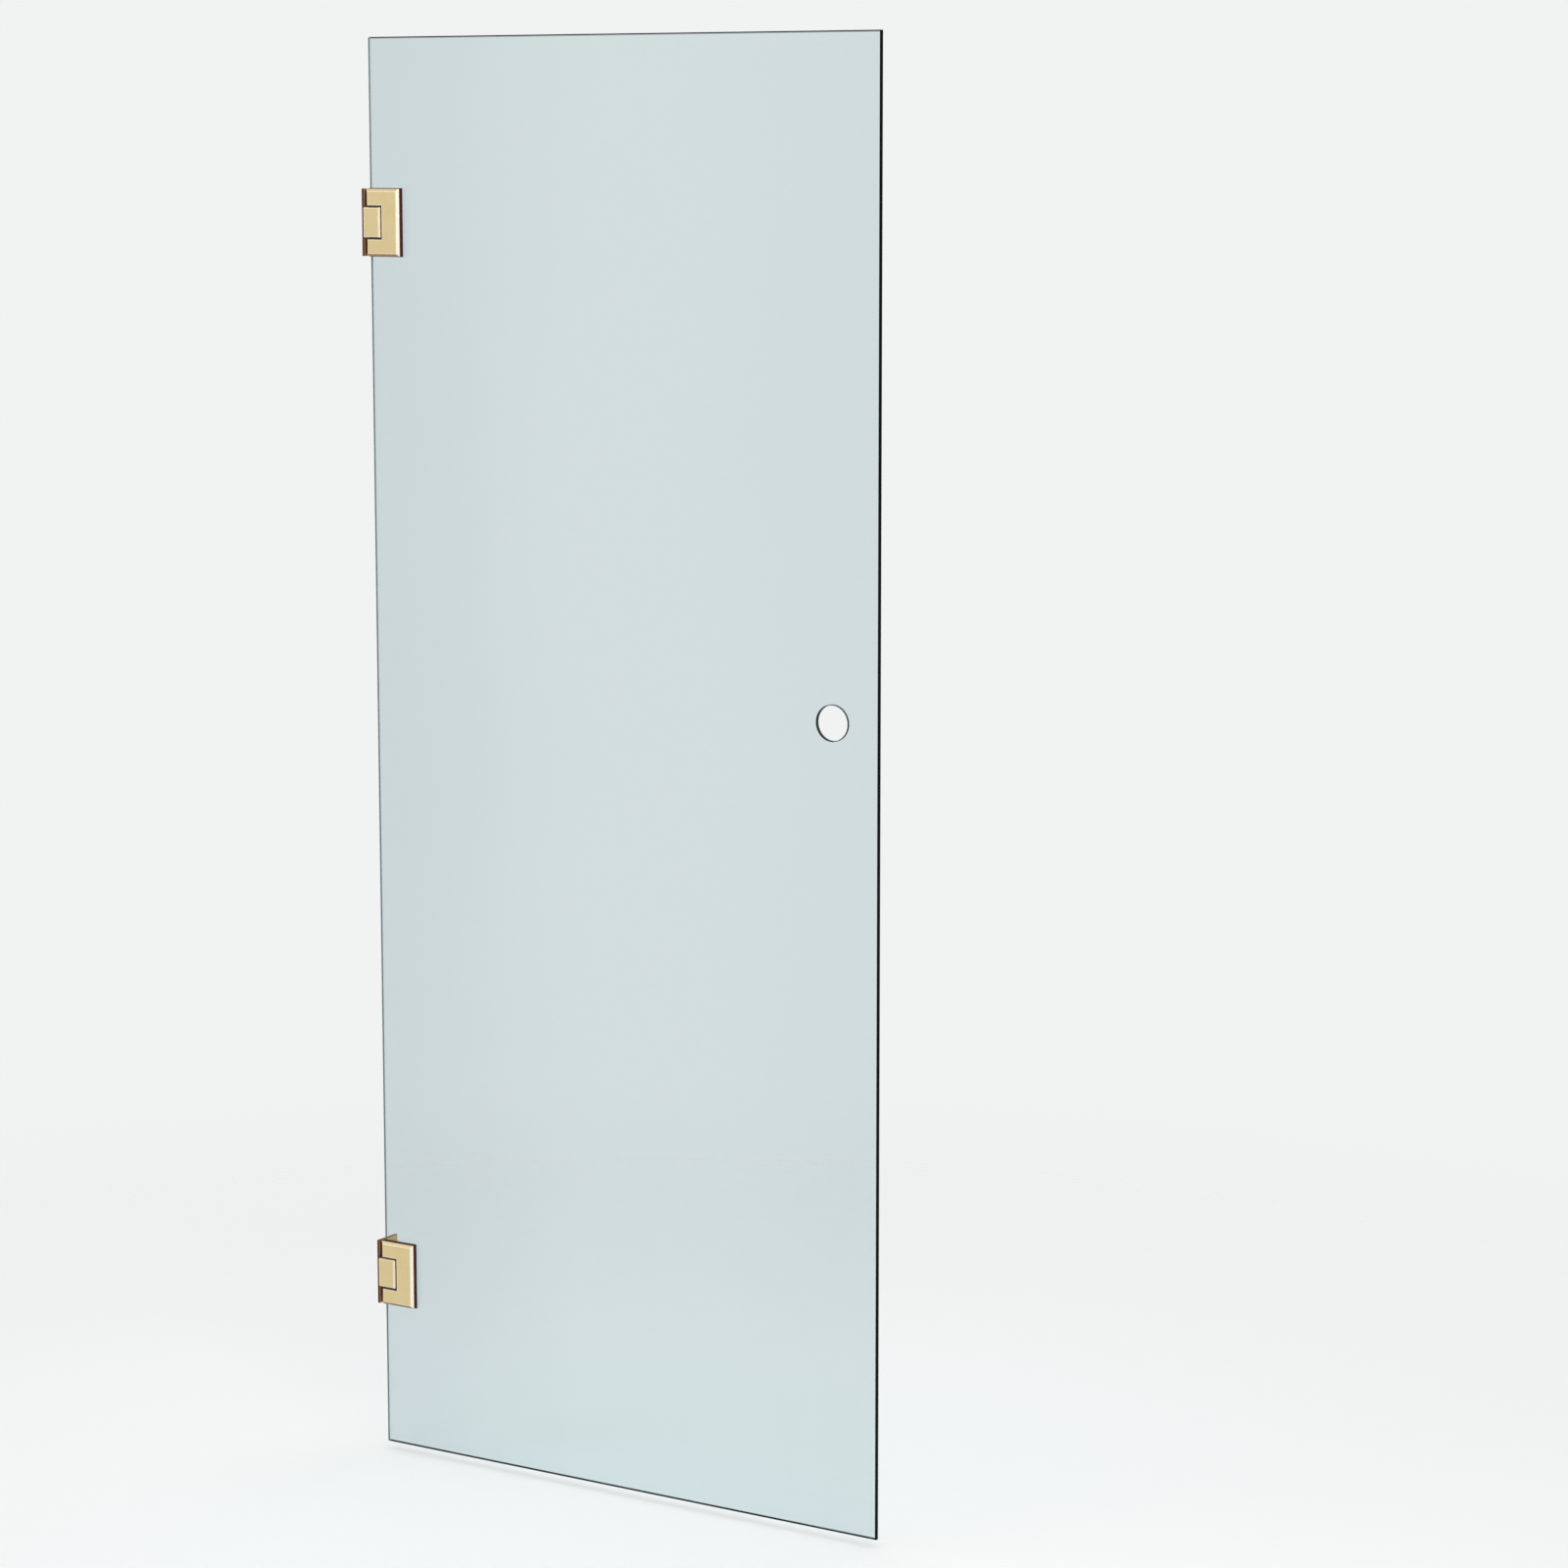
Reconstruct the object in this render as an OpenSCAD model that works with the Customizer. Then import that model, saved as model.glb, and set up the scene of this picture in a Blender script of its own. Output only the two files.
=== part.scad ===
// Glass shower door on two wall hinges.
// All sizes are in millimetres.
// X runs along the closed door, away from the wall. Y runs into the shower. Z is up.
// The origin is on the wall, level with the middle of the lower hinge, in the middle of the glass.

/* [Glass panel] */
// Width of the glass
glass_width = 800; // [500:10:1000]
// Height of the glass
glass_height = 1940; // [1600:10:2200]
// Thickness of the glass
glass_thickness = 6; // [6:1:10]
// Width of the 45 degree arris ground along each edge of the glass
glass_arris = 1; // [0.4:0.1:1.5]
// Height of the middle of the lower hinge above the bottom edge, and of the top edge above the upper one
hinge_from_end = 245; // [150:5:400]

/* [Finger hole] */
// Diameter of the finger hole between its two arrises
hole_diameter = 46; // [30:1:60]
// Distance from the free edge of the glass to the centre of the finger hole
hole_from_edge = 70; // [50:1:120]
// Height of the centre of the finger hole above the bottom edge of the glass
hole_height = 1070; // [800:10:1300]

/* [Glass cut-out at each hinge] */
// Height of the cut-out
cutout_height = 63; // [60:1:68]
// Depth of the cut-out from the wall side edge of the glass
cutout_depth = 41; // [39:1:46]
// Radius of the two inner corners of the cut-out
cutout_corner = 8; // [6:0.5:12]
// Space left between the cut-out and the clamp bosses that stand in it
cutout_space = 1.5; // [1:0.25:2]

/* [Hinge clamps] */
// Height of the hinge
hinge_height = 90; // [84:1:110]
// Width of the clamps
clamp_width = 55; // [50:1:70]
// Distance by which the rear clamps reach past the glass cut-out, away from the wall
rear_side_overlap = 5.5; // [5:0.5:10]
// Distance by which the rear clamps reach past the glass cut-out, above and below it
rear_end_overlap = 10.5; // [8:0.5:12]
// Thickness of each clamp plate, without its boss
clamp_thickness = 8.5; // [8:0.25:10]
// Width of the 45 degree bevel on the clamps
bevel = 3.5; // [2:0.25:4]
// Thickness of each gasket
gasket_thickness = 1; // [0.5:0.25:2]
// Distance by which the gaskets stand proud of the outline of the clamps
gasket_lip = 0.75; // [0.25:0.25:1.25]
// Distance by which the glass starts inside the wall side edge of the clamps
glass_inset = 1; // [0.5:0.25:2]

/* [Wall plate] */
// Thickness of the wall plate
plate_thickness = 4; // [3:0.25:5]
// Depth of the wall plate, from its front edge to its rear edge
plate_depth = 44; // [38:1:50]
// Distance of its front edge in front of the middle of the glass
plate_front = 10.5; // [8:0.25:12]
// Chamfer along the visible edges of the wall plate
plate_chamfer = 0.8; // [0.3:0.1:1.2]
// Diameter of the holes for the wall screws
wall_hole = 5.5; // [4.5:0.25:6]
// Distance from one wall screw hole to the next
wall_hole_pitch = 32; // [26:1:35]

/* [Pivot block] */
// Distance of the pin axis from the wall
pin_from_wall = 21; // [20:0.5:24]
// Height of the pivot block
block_height = 40.5; // [40:0.5:44]
// Length of the block past the pin axis
block_nose = 10.25; // [9.75:0.25:11]
// Width of the 45 degree bevel on the end of the block
block_bevel = 2.25; // [1.5:0.25:4]
// Chamfer along the top and bottom edges of the block
block_chamfer = 0.8; // [0.3:0.1:1.5]
// Gap between the block and each arm of the clamps
arm_gap = 2.5; // [1.5:0.25:3]
// Gap between the side of the block and the clamps when the door stands square to the wall
side_gap = 1; // [0.6:0.1:2]

/* [Pivot pin and bushes] */
// Diameter of the pin
pin_diameter = 12; // [11:0.25:12.5]
// Depth of the four flats on the pin
pin_flat = 0.3; // [0.2:0.05:0.5]
// Wall of the bushes
bush_wall = 2; // [1.5:0.25:2]
// Length of each bush inside the block
bush_length = 8; // [6:0.5:9]
// Distance by which the flat flanges of the bushes stay inside the outline of the block
flange_inset = 1; // [0.8:0.1:1.5]

/* [Detent shoe and springs] */
// Thickness of the shoe
shoe_thickness = 3; // [2.5:0.25:3.5]
// Height of the shoe
shoe_height = 17; // [16:0.5:18]
// Width of the shoe
shoe_width = 9.8; // [8:0.1:10]
// Diameter of the spring wire
spring_wire = 0.9; // [0.7:0.05:1]
// Outside diameter of the springs
spring_diameter = 6.5; // [5.5:0.25:7]

/* [Screws] */
// Diameter of the clamp screws
clamp_screw = 6; // [5:0.5:6]
// Diameter of the pin set screws
set_screw = 5; // [4:0.5:5]
// Diameter of the block screws
block_screw = 5; // [4:0.5:5]
// Length of the block screws with their heads
block_screw_length = 10; // [8:0.5:10.5]

/* [Clearances] */
// Radial running gap of the pin in its bushes, and of the pin past the shoe
running_gap = 0.05; // [0.02:0.01:0.1]
// Gap round a piece that is fixed in another
fixed_gap = 0.05; // [0.02:0.01:0.1]
// Gap between pieces that lie close but do not touch
seat_gap = 0.3; // [0.2:0.05:0.4]
// Gap between the shoe and the walls of its pocket
slide_gap = 0.1; // [0.05:0.05:0.2]
// Gap between the swinging clamps and the wall plate
swing_gap = 0.36; // [0.3:0.02:0.6]

/* [Hidden] */
$fn = 96;
lower_z = 0;
upper_z = glass_height - 2 * hinge_from_end;
glass_half = glass_thickness / 2;
clamp_inner = glass_half + gasket_thickness;
clamp_outer = clamp_inner + clamp_thickness;
hinge_half = hinge_height / 2;
block_half = block_height / 2;
notch_half = block_half + arm_gap;
pin_r = pin_diameter / 2;

// The wall side corners of the clamps swing past the wall plate at this radius from the pin axis.
swing_r = pin_from_wall - plate_thickness - swing_gap;
flat_corner_x = sqrt(swing_r * swing_r - pow(clamp_outer - bevel, 2));
side_corner_x = sqrt(swing_r * swing_r - pow(clamp_outer, 2)) + bevel;
clamp_x0 = pin_from_wall - min(flat_corner_x, side_corner_x);
clamp_x1 = clamp_x0 + clamp_width;

// The corners of the block turn past the notch wall at this radius.
nose_corner_r = sqrt(pow(block_nose, 2) + pow(clamp_outer - block_bevel, 2));
cheek_corner_r = sqrt(pow(block_nose - block_bevel, 2) + pow(clamp_outer, 2));
relief_r = max(nose_corner_r, cheek_corner_r) + 1.4 * swing_gap;
notch_x = pin_from_wall + clamp_outer + side_gap;
block_x1 = pin_from_wall + block_nose;

glass_x0 = clamp_x0 + glass_inset;
glass_x1 = glass_x0 + glass_width;
glass_z0 = lower_z - hinge_from_end;
glass_z1 = glass_z0 + glass_height;
hole_x = glass_x1 - hole_from_edge;
hole_z = glass_z0 + hole_height;
cutout_x1 = glass_x0 + cutout_depth;
cutout_half = cutout_height / 2;
rear_x1 = cutout_x1 + rear_side_overlap;
rear_half = cutout_half + rear_end_overlap;

boss_x1 = cutout_x1 - cutout_space;
boss_half = cutout_half - cutout_space;
boss_corner = cutout_corner - cutout_space;
boss_face = seat_gap / 2;

pin_half = boss_half - 2 * seat_gap;
set_screw_z = (notch_half + boss_half) / 2;
clamp_screw_x = (notch_x + boss_x1) / 2;
clamp_screw_z = notch_half + clamp_screw / 2 - 0.5;
clamp_screw_head = 2 * clamp_screw;
clamp_screw_tip = clamp_outer - 4.7;
clamp_screw_bottom = clamp_outer - 3.7;
block_screw_head = 2 * block_screw - 0.2;
block_screw_z = (shoe_height / 2 + block_half) / 2;
block_bore_end = block_screw_length + seat_gap + 0.9;

bush_r = pin_r + bush_wall;
flange_top = notch_half - seat_gap;
shoe_face = pin_from_wall - pin_r - running_gap;
shoe_back = shoe_face - shoe_thickness;
spring_x0 = plate_thickness + seat_gap;
spring_x1 = shoe_back - seat_gap;
spring_z = spring_diameter / 2 + 1;
spring_rise = spring_x1 - spring_x0 - spring_wire;
spring_turns = floor(2 * spring_rise / (spring_wire + 0.5)) / 2;
spring_pitch = spring_rise / spring_turns;
spring_mean_r = (spring_diameter - spring_wire) / 2;
coil_steps = 8;
coil_sides = 6;

plate_y0 = -plate_front;
plate_y1 = plate_depth - plate_front;
wall_hole_y = (clamp_outer + plate_y1) / 2;
wall_hole_head = 2 * wall_hole - 0.5;

brass = [0.84, 0.72, 0.45];
steel = [0.62, 0.63, 0.65];
nylon = [0.08, 0.08, 0.09];
gasket_grey = [0.30, 0.31, 0.32];
glass_tint = [0.78, 0.90, 0.89, 0.35];

// Extrudes an outline drawn in X and Z from y0 to y1.
module along_y(y0, y1) {
  translate([0, y1, 0])
    rotate([90, 0, 0])
      linear_extrude(height = y1 - y0)
        children();
}

// Extrudes an outline drawn in Y and Z from x0 to x1.
module along_x(x0, x1) {
  translate([x0, 0, 0])
    rotate([90, 0, 90])
      linear_extrude(height = x1 - x0)
        children();
}

// Extrudes an outline drawn in X and Y from z0 to z1.
module along_z(z0, z1) {
  translate([0, 0, z0])
    linear_extrude(height = z1 - z0)
      children();
}

// Draws its children at the height of one hinge.
module at_hinge(z) {
  translate([0, 0, z])
    children();
}

// A rectangle with equal chamfers at all four corners.
module chamfered_rectangle(a0, a1, b0, b1, c) {
  polygon([
    [a0 + c, b0],
    [a1 - c, b0],
    [a1, b0 + c],
    [a1, b1 - c],
    [a1 - c, b1],
    [a0 + c, b1],
    [a0, b1 - c],
    [a0, b0 + c]
  ]);
}

// A rectangle chamfered at the two corners that its second pair of sides has at the far end b1.
module end_chamfered_rectangle(a0, a1, b0, b1, c) {
  polygon([
    [a0, b0],
    [a1, b0],
    [a1, b1 - c],
    [a1 - c, b1],
    [a0 + c, b1],
    [a0, b1 - c]
  ]);
}

// A rectangle chamfered at the two corners that its first pair of sides has at the far end a1.
module side_chamfered_rectangle(a0, a1, b0, b1, c) {
  polygon([
    [a0, b0],
    [a1 - c, b0],
    [a1, b0 + c],
    [a1, b1 - c],
    [a1 - c, b1],
    [a0, b1]
  ]);
}

// The outline of the glass cut-out, or of the boss inside it: its far corners are round.
module tongue_outline(x0, x1, half, r) {
  translate([x0, -half])
    square([x1 - r - x0, 2 * half]);
  translate([x0, r - half])
    square([x1 - x0, 2 * (half - r)]);
  for (s = [-1, 1])
    translate([x1 - r, s * (half - r)])
      circle(r = r);
}

// A countersunk screw with a hex socket. Its head is flush with z = 0 and it points down.
module countersunk_screw(d, head, length) {
  cone = (head - d) / 2;
  socket = 0.55 * d;
  difference() {
    union() {
      translate([0, 0, -cone])
        cylinder(h = cone, d1 = d, d2 = head);
      translate([0, 0, 0.4 - length])
        cylinder(h = length - cone - 0.4, d = d);
      translate([0, 0, -length])
        cylinder(h = 0.4, d1 = d - 0.8, d2 = d);
    }
    translate([0, 0, -0.5 * d])
      cylinder(h = 0.5 * d + 1, d = socket / cos(30), $fn = 6);
  }
}

// The hole for that screw, open above z = 0.
module countersunk_hole(d, head, depth, gap) {
  cone = (head - d) / 2;
  translate([0, 0, -cone])
    cylinder(h = cone + 2, r1 = d / 2 + gap, r2 = head / 2 + gap + 2);
  translate([0, 0, -depth])
    cylinder(h = depth, r = d / 2 + gap);
}

// One hinge cut-out in the glass, with the arris along its edge on both faces.
module hinge_cutout() {
  straight = cutout_half - cutout_corner;
  far = glass_half + 1;
  along_y(-far, far)
    tongue_outline(glass_x0 - 5, cutout_x1, cutout_half, cutout_corner);
  for (s = [-1, 1]) {
    mirror([0, s < 0 ? 1 : 0, 0]) {
      along_x(glass_x0 - 5, cutout_x1 - cutout_corner)
        polygon([
          [glass_half - glass_arris, -cutout_half],
          [far, -cutout_half - glass_arris - 1],
          [far, cutout_half + glass_arris + 1],
          [glass_half - glass_arris, cutout_half]
        ]);
      along_z(-straight, straight)
        polygon([
          [glass_x0 - 5, glass_half - glass_arris],
          [cutout_x1, glass_half - glass_arris],
          [cutout_x1 + glass_arris + 1, far],
          [glass_x0 - 5, far]
        ]);
      for (t = [-1, 1])
        translate([cutout_x1 - cutout_corner, glass_half - glass_arris, t * straight])
          rotate([-90, 0, 0])
            cylinder(h = glass_arris + 1, r1 = cutout_corner, r2 = cutout_corner + glass_arris + 1);
    }
  }
}

// The finger hole with the arris round both of its rims.
module finger_hole() {
  r = hole_diameter / 2;
  translate([hole_x, 0, hole_z])
    rotate([90, 0, 0]) {
      cylinder(h = glass_thickness + 2, r = r, center = true);
      for (s = [0, 1])
        mirror([0, 0, s])
          translate([0, 0, glass_half - glass_arris])
            cylinder(h = glass_arris + 1, r1 = r, r2 = r + glass_arris + 1);
    }
}

module glass_panel() {
  color(glass_tint)
    difference() {
      intersection() {
        along_z(glass_z0, glass_z1)
          chamfered_rectangle(glass_x0, glass_x1, -glass_half, glass_half, glass_arris);
        along_x(glass_x0, glass_x1)
          chamfered_rectangle(-glass_half, glass_half, glass_z0, glass_z1, glass_arris);
      }
      at_hinge(lower_z)
        hinge_cutout();
      at_hinge(upper_z)
        hinge_cutout();
      finger_hole();
    }
}

// The plate that is screwed to the wall. Its rear part holds the three wall screws.
module wall_plate() {
  color(brass)
    difference() {
      intersection() {
        along_z(-hinge_half, hinge_half)
          side_chamfered_rectangle(0, plate_thickness, plate_y0, plate_y1, plate_chamfer);
        rotate([90, 0, 0])
          translate([0, 0, -plate_y1])
            linear_extrude(height = plate_depth)
              side_chamfered_rectangle(0, plate_thickness, -hinge_half, hinge_half, plate_chamfer);
      }
      for (s = [-1, 1])
        translate([seat_gap, 0, s * block_screw_z])
          rotate([0, -90, 0])
            countersunk_hole(block_screw, block_screw_head, plate_thickness + 1, fixed_gap);
      for (s = [-1, 0, 1])
        translate([plate_thickness, wall_hole_y, s * wall_hole_pitch])
          rotate([0, 90, 0])
            countersunk_hole(wall_hole, wall_hole_head, plate_thickness + 1, 0);
    }
}

// The fixed block that carries the pin in its two bushes.
module pivot_block() {
  pocket_width = shoe_width + 2 * slide_gap;
  pocket_height = shoe_height + 2 * slide_gap;
  color(brass)
    difference() {
      intersection() {
        along_z(-block_half, block_half)
          side_chamfered_rectangle(plate_thickness, block_x1, -clamp_outer, clamp_outer, block_bevel);
        along_x(plate_thickness, block_x1)
          chamfered_rectangle(-clamp_outer, clamp_outer, -block_half, block_half, block_chamfer);
      }
      translate([pin_from_wall, 0, -block_half - 1])
        cylinder(h = block_height + 2, r = pin_r + 2 * seat_gap);
      for (s = [0, 1])
        mirror([0, 0, s])
          translate([pin_from_wall, 0, block_half - bush_length - seat_gap])
            cylinder(h = bush_length + 1, r = bush_r + fixed_gap);
      translate([plate_thickness - 1, -pocket_width / 2, -pocket_height / 2])
        cube([pin_from_wall - plate_thickness + 1, pocket_width, pocket_height]);
      for (s = [-1, 1])
        translate([plate_thickness - 1, 0, s * block_screw_z])
          rotate([0, 90, 0])
            cylinder(h = block_bore_end - plate_thickness + 1, r = block_screw / 2 + fixed_gap);
    }
}

module block_screws() {
  color(steel)
    for (s = [-1, 1])
      translate([seat_gap, 0, s * block_screw_z])
        rotate([0, -90, 0])
          countersunk_screw(block_screw, block_screw_head, block_screw_length);
}

// The pin turns with the door. Its middle flats meet the shoe and its end flats meet the set screws.
module pivot_pin() {
  flat_x = pin_r - pin_flat;
  end_flat = boss_half - notch_half;
  color(steel)
    translate([pin_from_wall, 0, 0])
      difference() {
        rotate_extrude()
          polygon([
            [0, -pin_half],
            [pin_r - 0.6, -pin_half],
            [pin_r, 0.6 - pin_half],
            [pin_r, pin_half - 0.6],
            [pin_r - 0.6, pin_half],
            [0, pin_half]
          ]);
        for (a = [0, 90, 180, 270])
          rotate([0, 0, a])
            translate([flat_x, -pin_r, -shoe_height / 2 - 1])
              cube([pin_r, pin_diameter, shoe_height + 2]);
        for (s = [0, 1])
          mirror([0, 0, s])
            translate([-pin_r, flat_x, notch_half + 0.5])
              cube([pin_diameter, pin_r, end_flat]);
      }
}

// Each bush has a flat flange with the outline of the block, which fills the gap to the clamps.
module pin_bushes() {
  flange_x0 = plate_thickness + flange_inset;
  flange_x1 = block_x1 - flange_inset;
  flange_y = clamp_outer - flange_inset;
  bottom = block_half - bush_length;
  color(nylon)
    for (s = [0, 1])
      mirror([0, 0, s])
        difference() {
          union() {
            translate([pin_from_wall, 0, bottom])
              cylinder(h = flange_top - bottom, r = bush_r);
            along_z(block_half, flange_top)
              side_chamfered_rectangle(flange_x0, flange_x1, -flange_y, flange_y, block_bevel);
          }
          translate([pin_from_wall, 0, bottom - 1])
            cylinder(h = flange_top - bottom + 2, r = pin_r + running_gap);
        }
}

// The shoe that the springs press towards the pin.
module detent_shoe() {
  color(steel)
    translate([0, -shoe_width / 2, 0])
      rotate([-90, 0, 0])
        linear_extrude(height = shoe_width)
          chamfered_rectangle(shoe_back, shoe_face, -shoe_height / 2, shoe_height / 2, 0.5);
}

// One point of the coil's centre line, at angle a.
function coil_centre(a) = [
  spring_pitch * a / 360,
  spring_mean_r * cos(a),
  spring_mean_r * sin(a)
];

// The direction across the wire, away from the radius, at angle a.
function coil_across(a) =
  let (
    rise = spring_pitch / (2 * PI),
    length = norm([rise, spring_mean_r])
  )
  [-spring_mean_r, -rise * sin(a), rise * cos(a)] / length;

// One point on the surface of the wire, at angle a of the coil and angle b round the wire.
function coil_surface(a, b) =
  coil_centre(a) + spring_wire / 2 * (cos(b) * [0, cos(a), sin(a)] + sin(b) * coil_across(a));

coil_rings = ceil(spring_turns * coil_steps);
function ring_angle(i) = 360 * i / coil_steps;

// The least gap between one turn of the coil and the next, measured between points of its centre line.
coil_gap = min([
  for (i = [0 : coil_rings - coil_steps + 2])
    for (j = [i + coil_steps - 2 : coil_rings])
      norm(coil_centre(ring_angle(i)) - coil_centre(ring_angle(j))) - spring_wire
]);
echo(least_gap_between_spring_turns = coil_gap);

// One unbroken round wire spring along X, starting at x = 0.
module coil_spring() {
  points = [
    for (i = [0 : coil_rings])
      for (j = [0 : coil_sides - 1])
        coil_surface(ring_angle(i), 360 * j / coil_sides)
  ];
  last = coil_rings * coil_sides;
  sides = [
    for (i = [0 : coil_rings - 1])
      for (j = [0 : coil_sides - 1])
        let (
          a = i * coil_sides + j,
          b = i * coil_sides + (j + 1) % coil_sides,
          c = a + coil_sides,
          d = b + coil_sides
        )
        each [[a, b, d], [a, d, c]]
  ];
  start = [for (j = [1 : coil_sides - 2]) [0, j + 1, j]];
  finish = [for (j = [1 : coil_sides - 2]) [last, last + j, last + j + 1]];
  polyhedron(points = points, faces = concat(sides, start, finish), convexity = 8);
}

module detent_springs() {
  color(steel)
    for (s = [-1, 1])
      translate([spring_x0 + spring_wire / 2, 0, s * spring_z])
        coil_spring();
}

// One clamp plate with its boss, on the shower side of the glass, before its screw holes.
module clamp_body(x1, half) {
  difference() {
    union() {
      intersection() {
        along_z(-half, half)
          end_chamfered_rectangle(clamp_x0, x1, clamp_inner, clamp_outer, bevel);
        along_x(clamp_x0, x1)
          side_chamfered_rectangle(clamp_inner, clamp_outer, -half, half, bevel);
      }
      along_y(boss_face, clamp_inner + 1)
        tongue_outline(clamp_x0, boss_x1, boss_half, boss_corner);
    }
    translate([clamp_x0 - 1, -1, -notch_half])
      cube([notch_x - clamp_x0 + 1, clamp_outer + 2, 2 * notch_half]);
    translate([pin_from_wall, 0, -notch_half])
      cylinder(h = 2 * notch_half, r = relief_r);
    translate([pin_from_wall, 0, -pin_half - seat_gap])
      cylinder(h = 2 * (pin_half + seat_gap), r = pin_r + fixed_gap);
  }
}

// The clamp plate on the room side has a plain face and blind holes for the clamp screws.
module front_clamp() {
  color(brass)
    mirror([0, 1, 0])
      difference() {
        clamp_body(clamp_x1, hinge_half);
        for (s = [-1, 1])
          translate([clamp_screw_x, -1, s * clamp_screw_z])
            rotate([-90, 0, 0])
              cylinder(h = clamp_screw_bottom + 1, r = clamp_screw / 2 + fixed_gap);
      }
}

// The smaller clamp plate on the shower side takes the clamp screws and the set screws.
module rear_clamp() {
  color(brass)
    difference() {
      clamp_body(rear_x1, rear_half);
      for (s = [-1, 1]) {
        translate([clamp_screw_x, clamp_outer - seat_gap, s * clamp_screw_z])
          rotate([-90, 0, 0])
            countersunk_hole(clamp_screw, clamp_screw_head, clamp_outer + 1, fixed_gap);
        translate([pin_from_wall, pin_r - 1, s * set_screw_z])
          rotate([-90, 0, 0])
            cylinder(h = clamp_outer, r = set_screw / 2 + fixed_gap);
      }
    }
}

// A C-shaped gasket on the shower side of the glass. Its lip stands proud of a clamp that ends at x1.
module gasket(x1, half) {
  color(gasket_grey)
    along_y(glass_half, clamp_inner)
      difference() {
        translate([glass_x0, -half - gasket_lip])
          square([x1 + gasket_lip - glass_x0, 2 * (half + gasket_lip)]);
        tongue_outline(glass_x0 - 1, cutout_x1 + glass_arris, cutout_half + glass_arris, cutout_corner);
      }
}

module rear_gasket() {
  gasket(rear_x1, rear_half);
}

module front_gasket() {
  mirror([0, 1, 0])
    gasket(clamp_x1, hinge_half);
}

module clamp_screws() {
  color(steel)
    for (s = [-1, 1])
      translate([clamp_screw_x, clamp_outer - seat_gap, s * clamp_screw_z])
        rotate([-90, 0, 0])
          countersunk_screw(clamp_screw, clamp_screw_head, clamp_outer - seat_gap + clamp_screw_tip);
}

// The set screws lock the pin in the clamps. Each has a hex socket and ends on a flat of the pin.
module pin_set_screws() {
  tip_y = pin_r - pin_flat + fixed_gap;
  length = clamp_outer - 2 * seat_gap - tip_y;
  color(steel)
    for (s = [-1, 1])
      translate([pin_from_wall, tip_y, s * set_screw_z])
        rotate([-90, 0, 0])
          difference() {
            union() {
              cylinder(h = 0.5, r1 = set_screw / 2 - 0.5, r2 = set_screw / 2);
              translate([0, 0, 0.5])
                cylinder(h = length - 0.5, r = set_screw / 2);
            }
            translate([0, 0, length - 0.5 * set_screw])
              cylinder(h = set_screw, d = 0.5 * set_screw / cos(30), $fn = 6);
          }
}

module lower_wall_plate() { at_hinge(lower_z) wall_plate(); }
module lower_pivot_block() { at_hinge(lower_z) pivot_block(); }
module lower_block_screws() { at_hinge(lower_z) block_screws(); }
module lower_pivot_pin() { at_hinge(lower_z) pivot_pin(); }
module lower_pin_bushes() { at_hinge(lower_z) pin_bushes(); }
module lower_detent_shoe() { at_hinge(lower_z) detent_shoe(); }
module lower_detent_springs() { at_hinge(lower_z) detent_springs(); }
module lower_front_clamp() { at_hinge(lower_z) front_clamp(); }
module lower_rear_clamp() { at_hinge(lower_z) rear_clamp(); }
module lower_front_gasket() { at_hinge(lower_z) front_gasket(); }
module lower_rear_gasket() { at_hinge(lower_z) rear_gasket(); }
module lower_clamp_screws() { at_hinge(lower_z) clamp_screws(); }
module lower_pin_set_screws() { at_hinge(lower_z) pin_set_screws(); }
module upper_wall_plate() { at_hinge(upper_z) wall_plate(); }
module upper_pivot_block() { at_hinge(upper_z) pivot_block(); }
module upper_block_screws() { at_hinge(upper_z) block_screws(); }
module upper_pivot_pin() { at_hinge(upper_z) pivot_pin(); }
module upper_pin_bushes() { at_hinge(upper_z) pin_bushes(); }
module upper_detent_shoe() { at_hinge(upper_z) detent_shoe(); }
module upper_detent_springs() { at_hinge(upper_z) detent_springs(); }
module upper_front_clamp() { at_hinge(upper_z) front_clamp(); }
module upper_rear_clamp() { at_hinge(upper_z) rear_clamp(); }
module upper_front_gasket() { at_hinge(upper_z) front_gasket(); }
module upper_rear_gasket() { at_hinge(upper_z) rear_gasket(); }
module upper_clamp_screws() { at_hinge(upper_z) clamp_screws(); }
module upper_pin_set_screws() { at_hinge(upper_z) pin_set_screws(); }

glass_panel();
lower_wall_plate();
lower_pivot_block();
lower_block_screws();
lower_pivot_pin();
lower_pin_bushes();
lower_detent_shoe();
lower_detent_springs();
lower_front_clamp();
lower_rear_clamp();
lower_front_gasket();
lower_rear_gasket();
lower_clamp_screws();
lower_pin_set_screws();
upper_wall_plate();
upper_pivot_block();
upper_block_screws();
upper_pivot_pin();
upper_pin_bushes();
upper_detent_shoe();
upper_detent_springs();
upper_front_clamp();
upper_rear_clamp();
upper_front_gasket();
upper_rear_gasket();
upper_clamp_screws();
upper_pin_set_screws();
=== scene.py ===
"""Looks of a frameless glass shower door that hangs on two square brass hinges.

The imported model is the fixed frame, and every size here is in metres in that frame: X runs along
the closed door away from the wall, Y runs into the shower and Z is up. The solids of the frame
keep their shapes and get their finishes here. The screws and the coil springs are made again with
their threads and round wire.
"""

import logging
import math
from collections.abc import Callable, Iterable, Sequence
from dataclasses import dataclass
from enum import Enum

import bmesh
import bpy
from mathutils import Matrix, Vector


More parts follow.
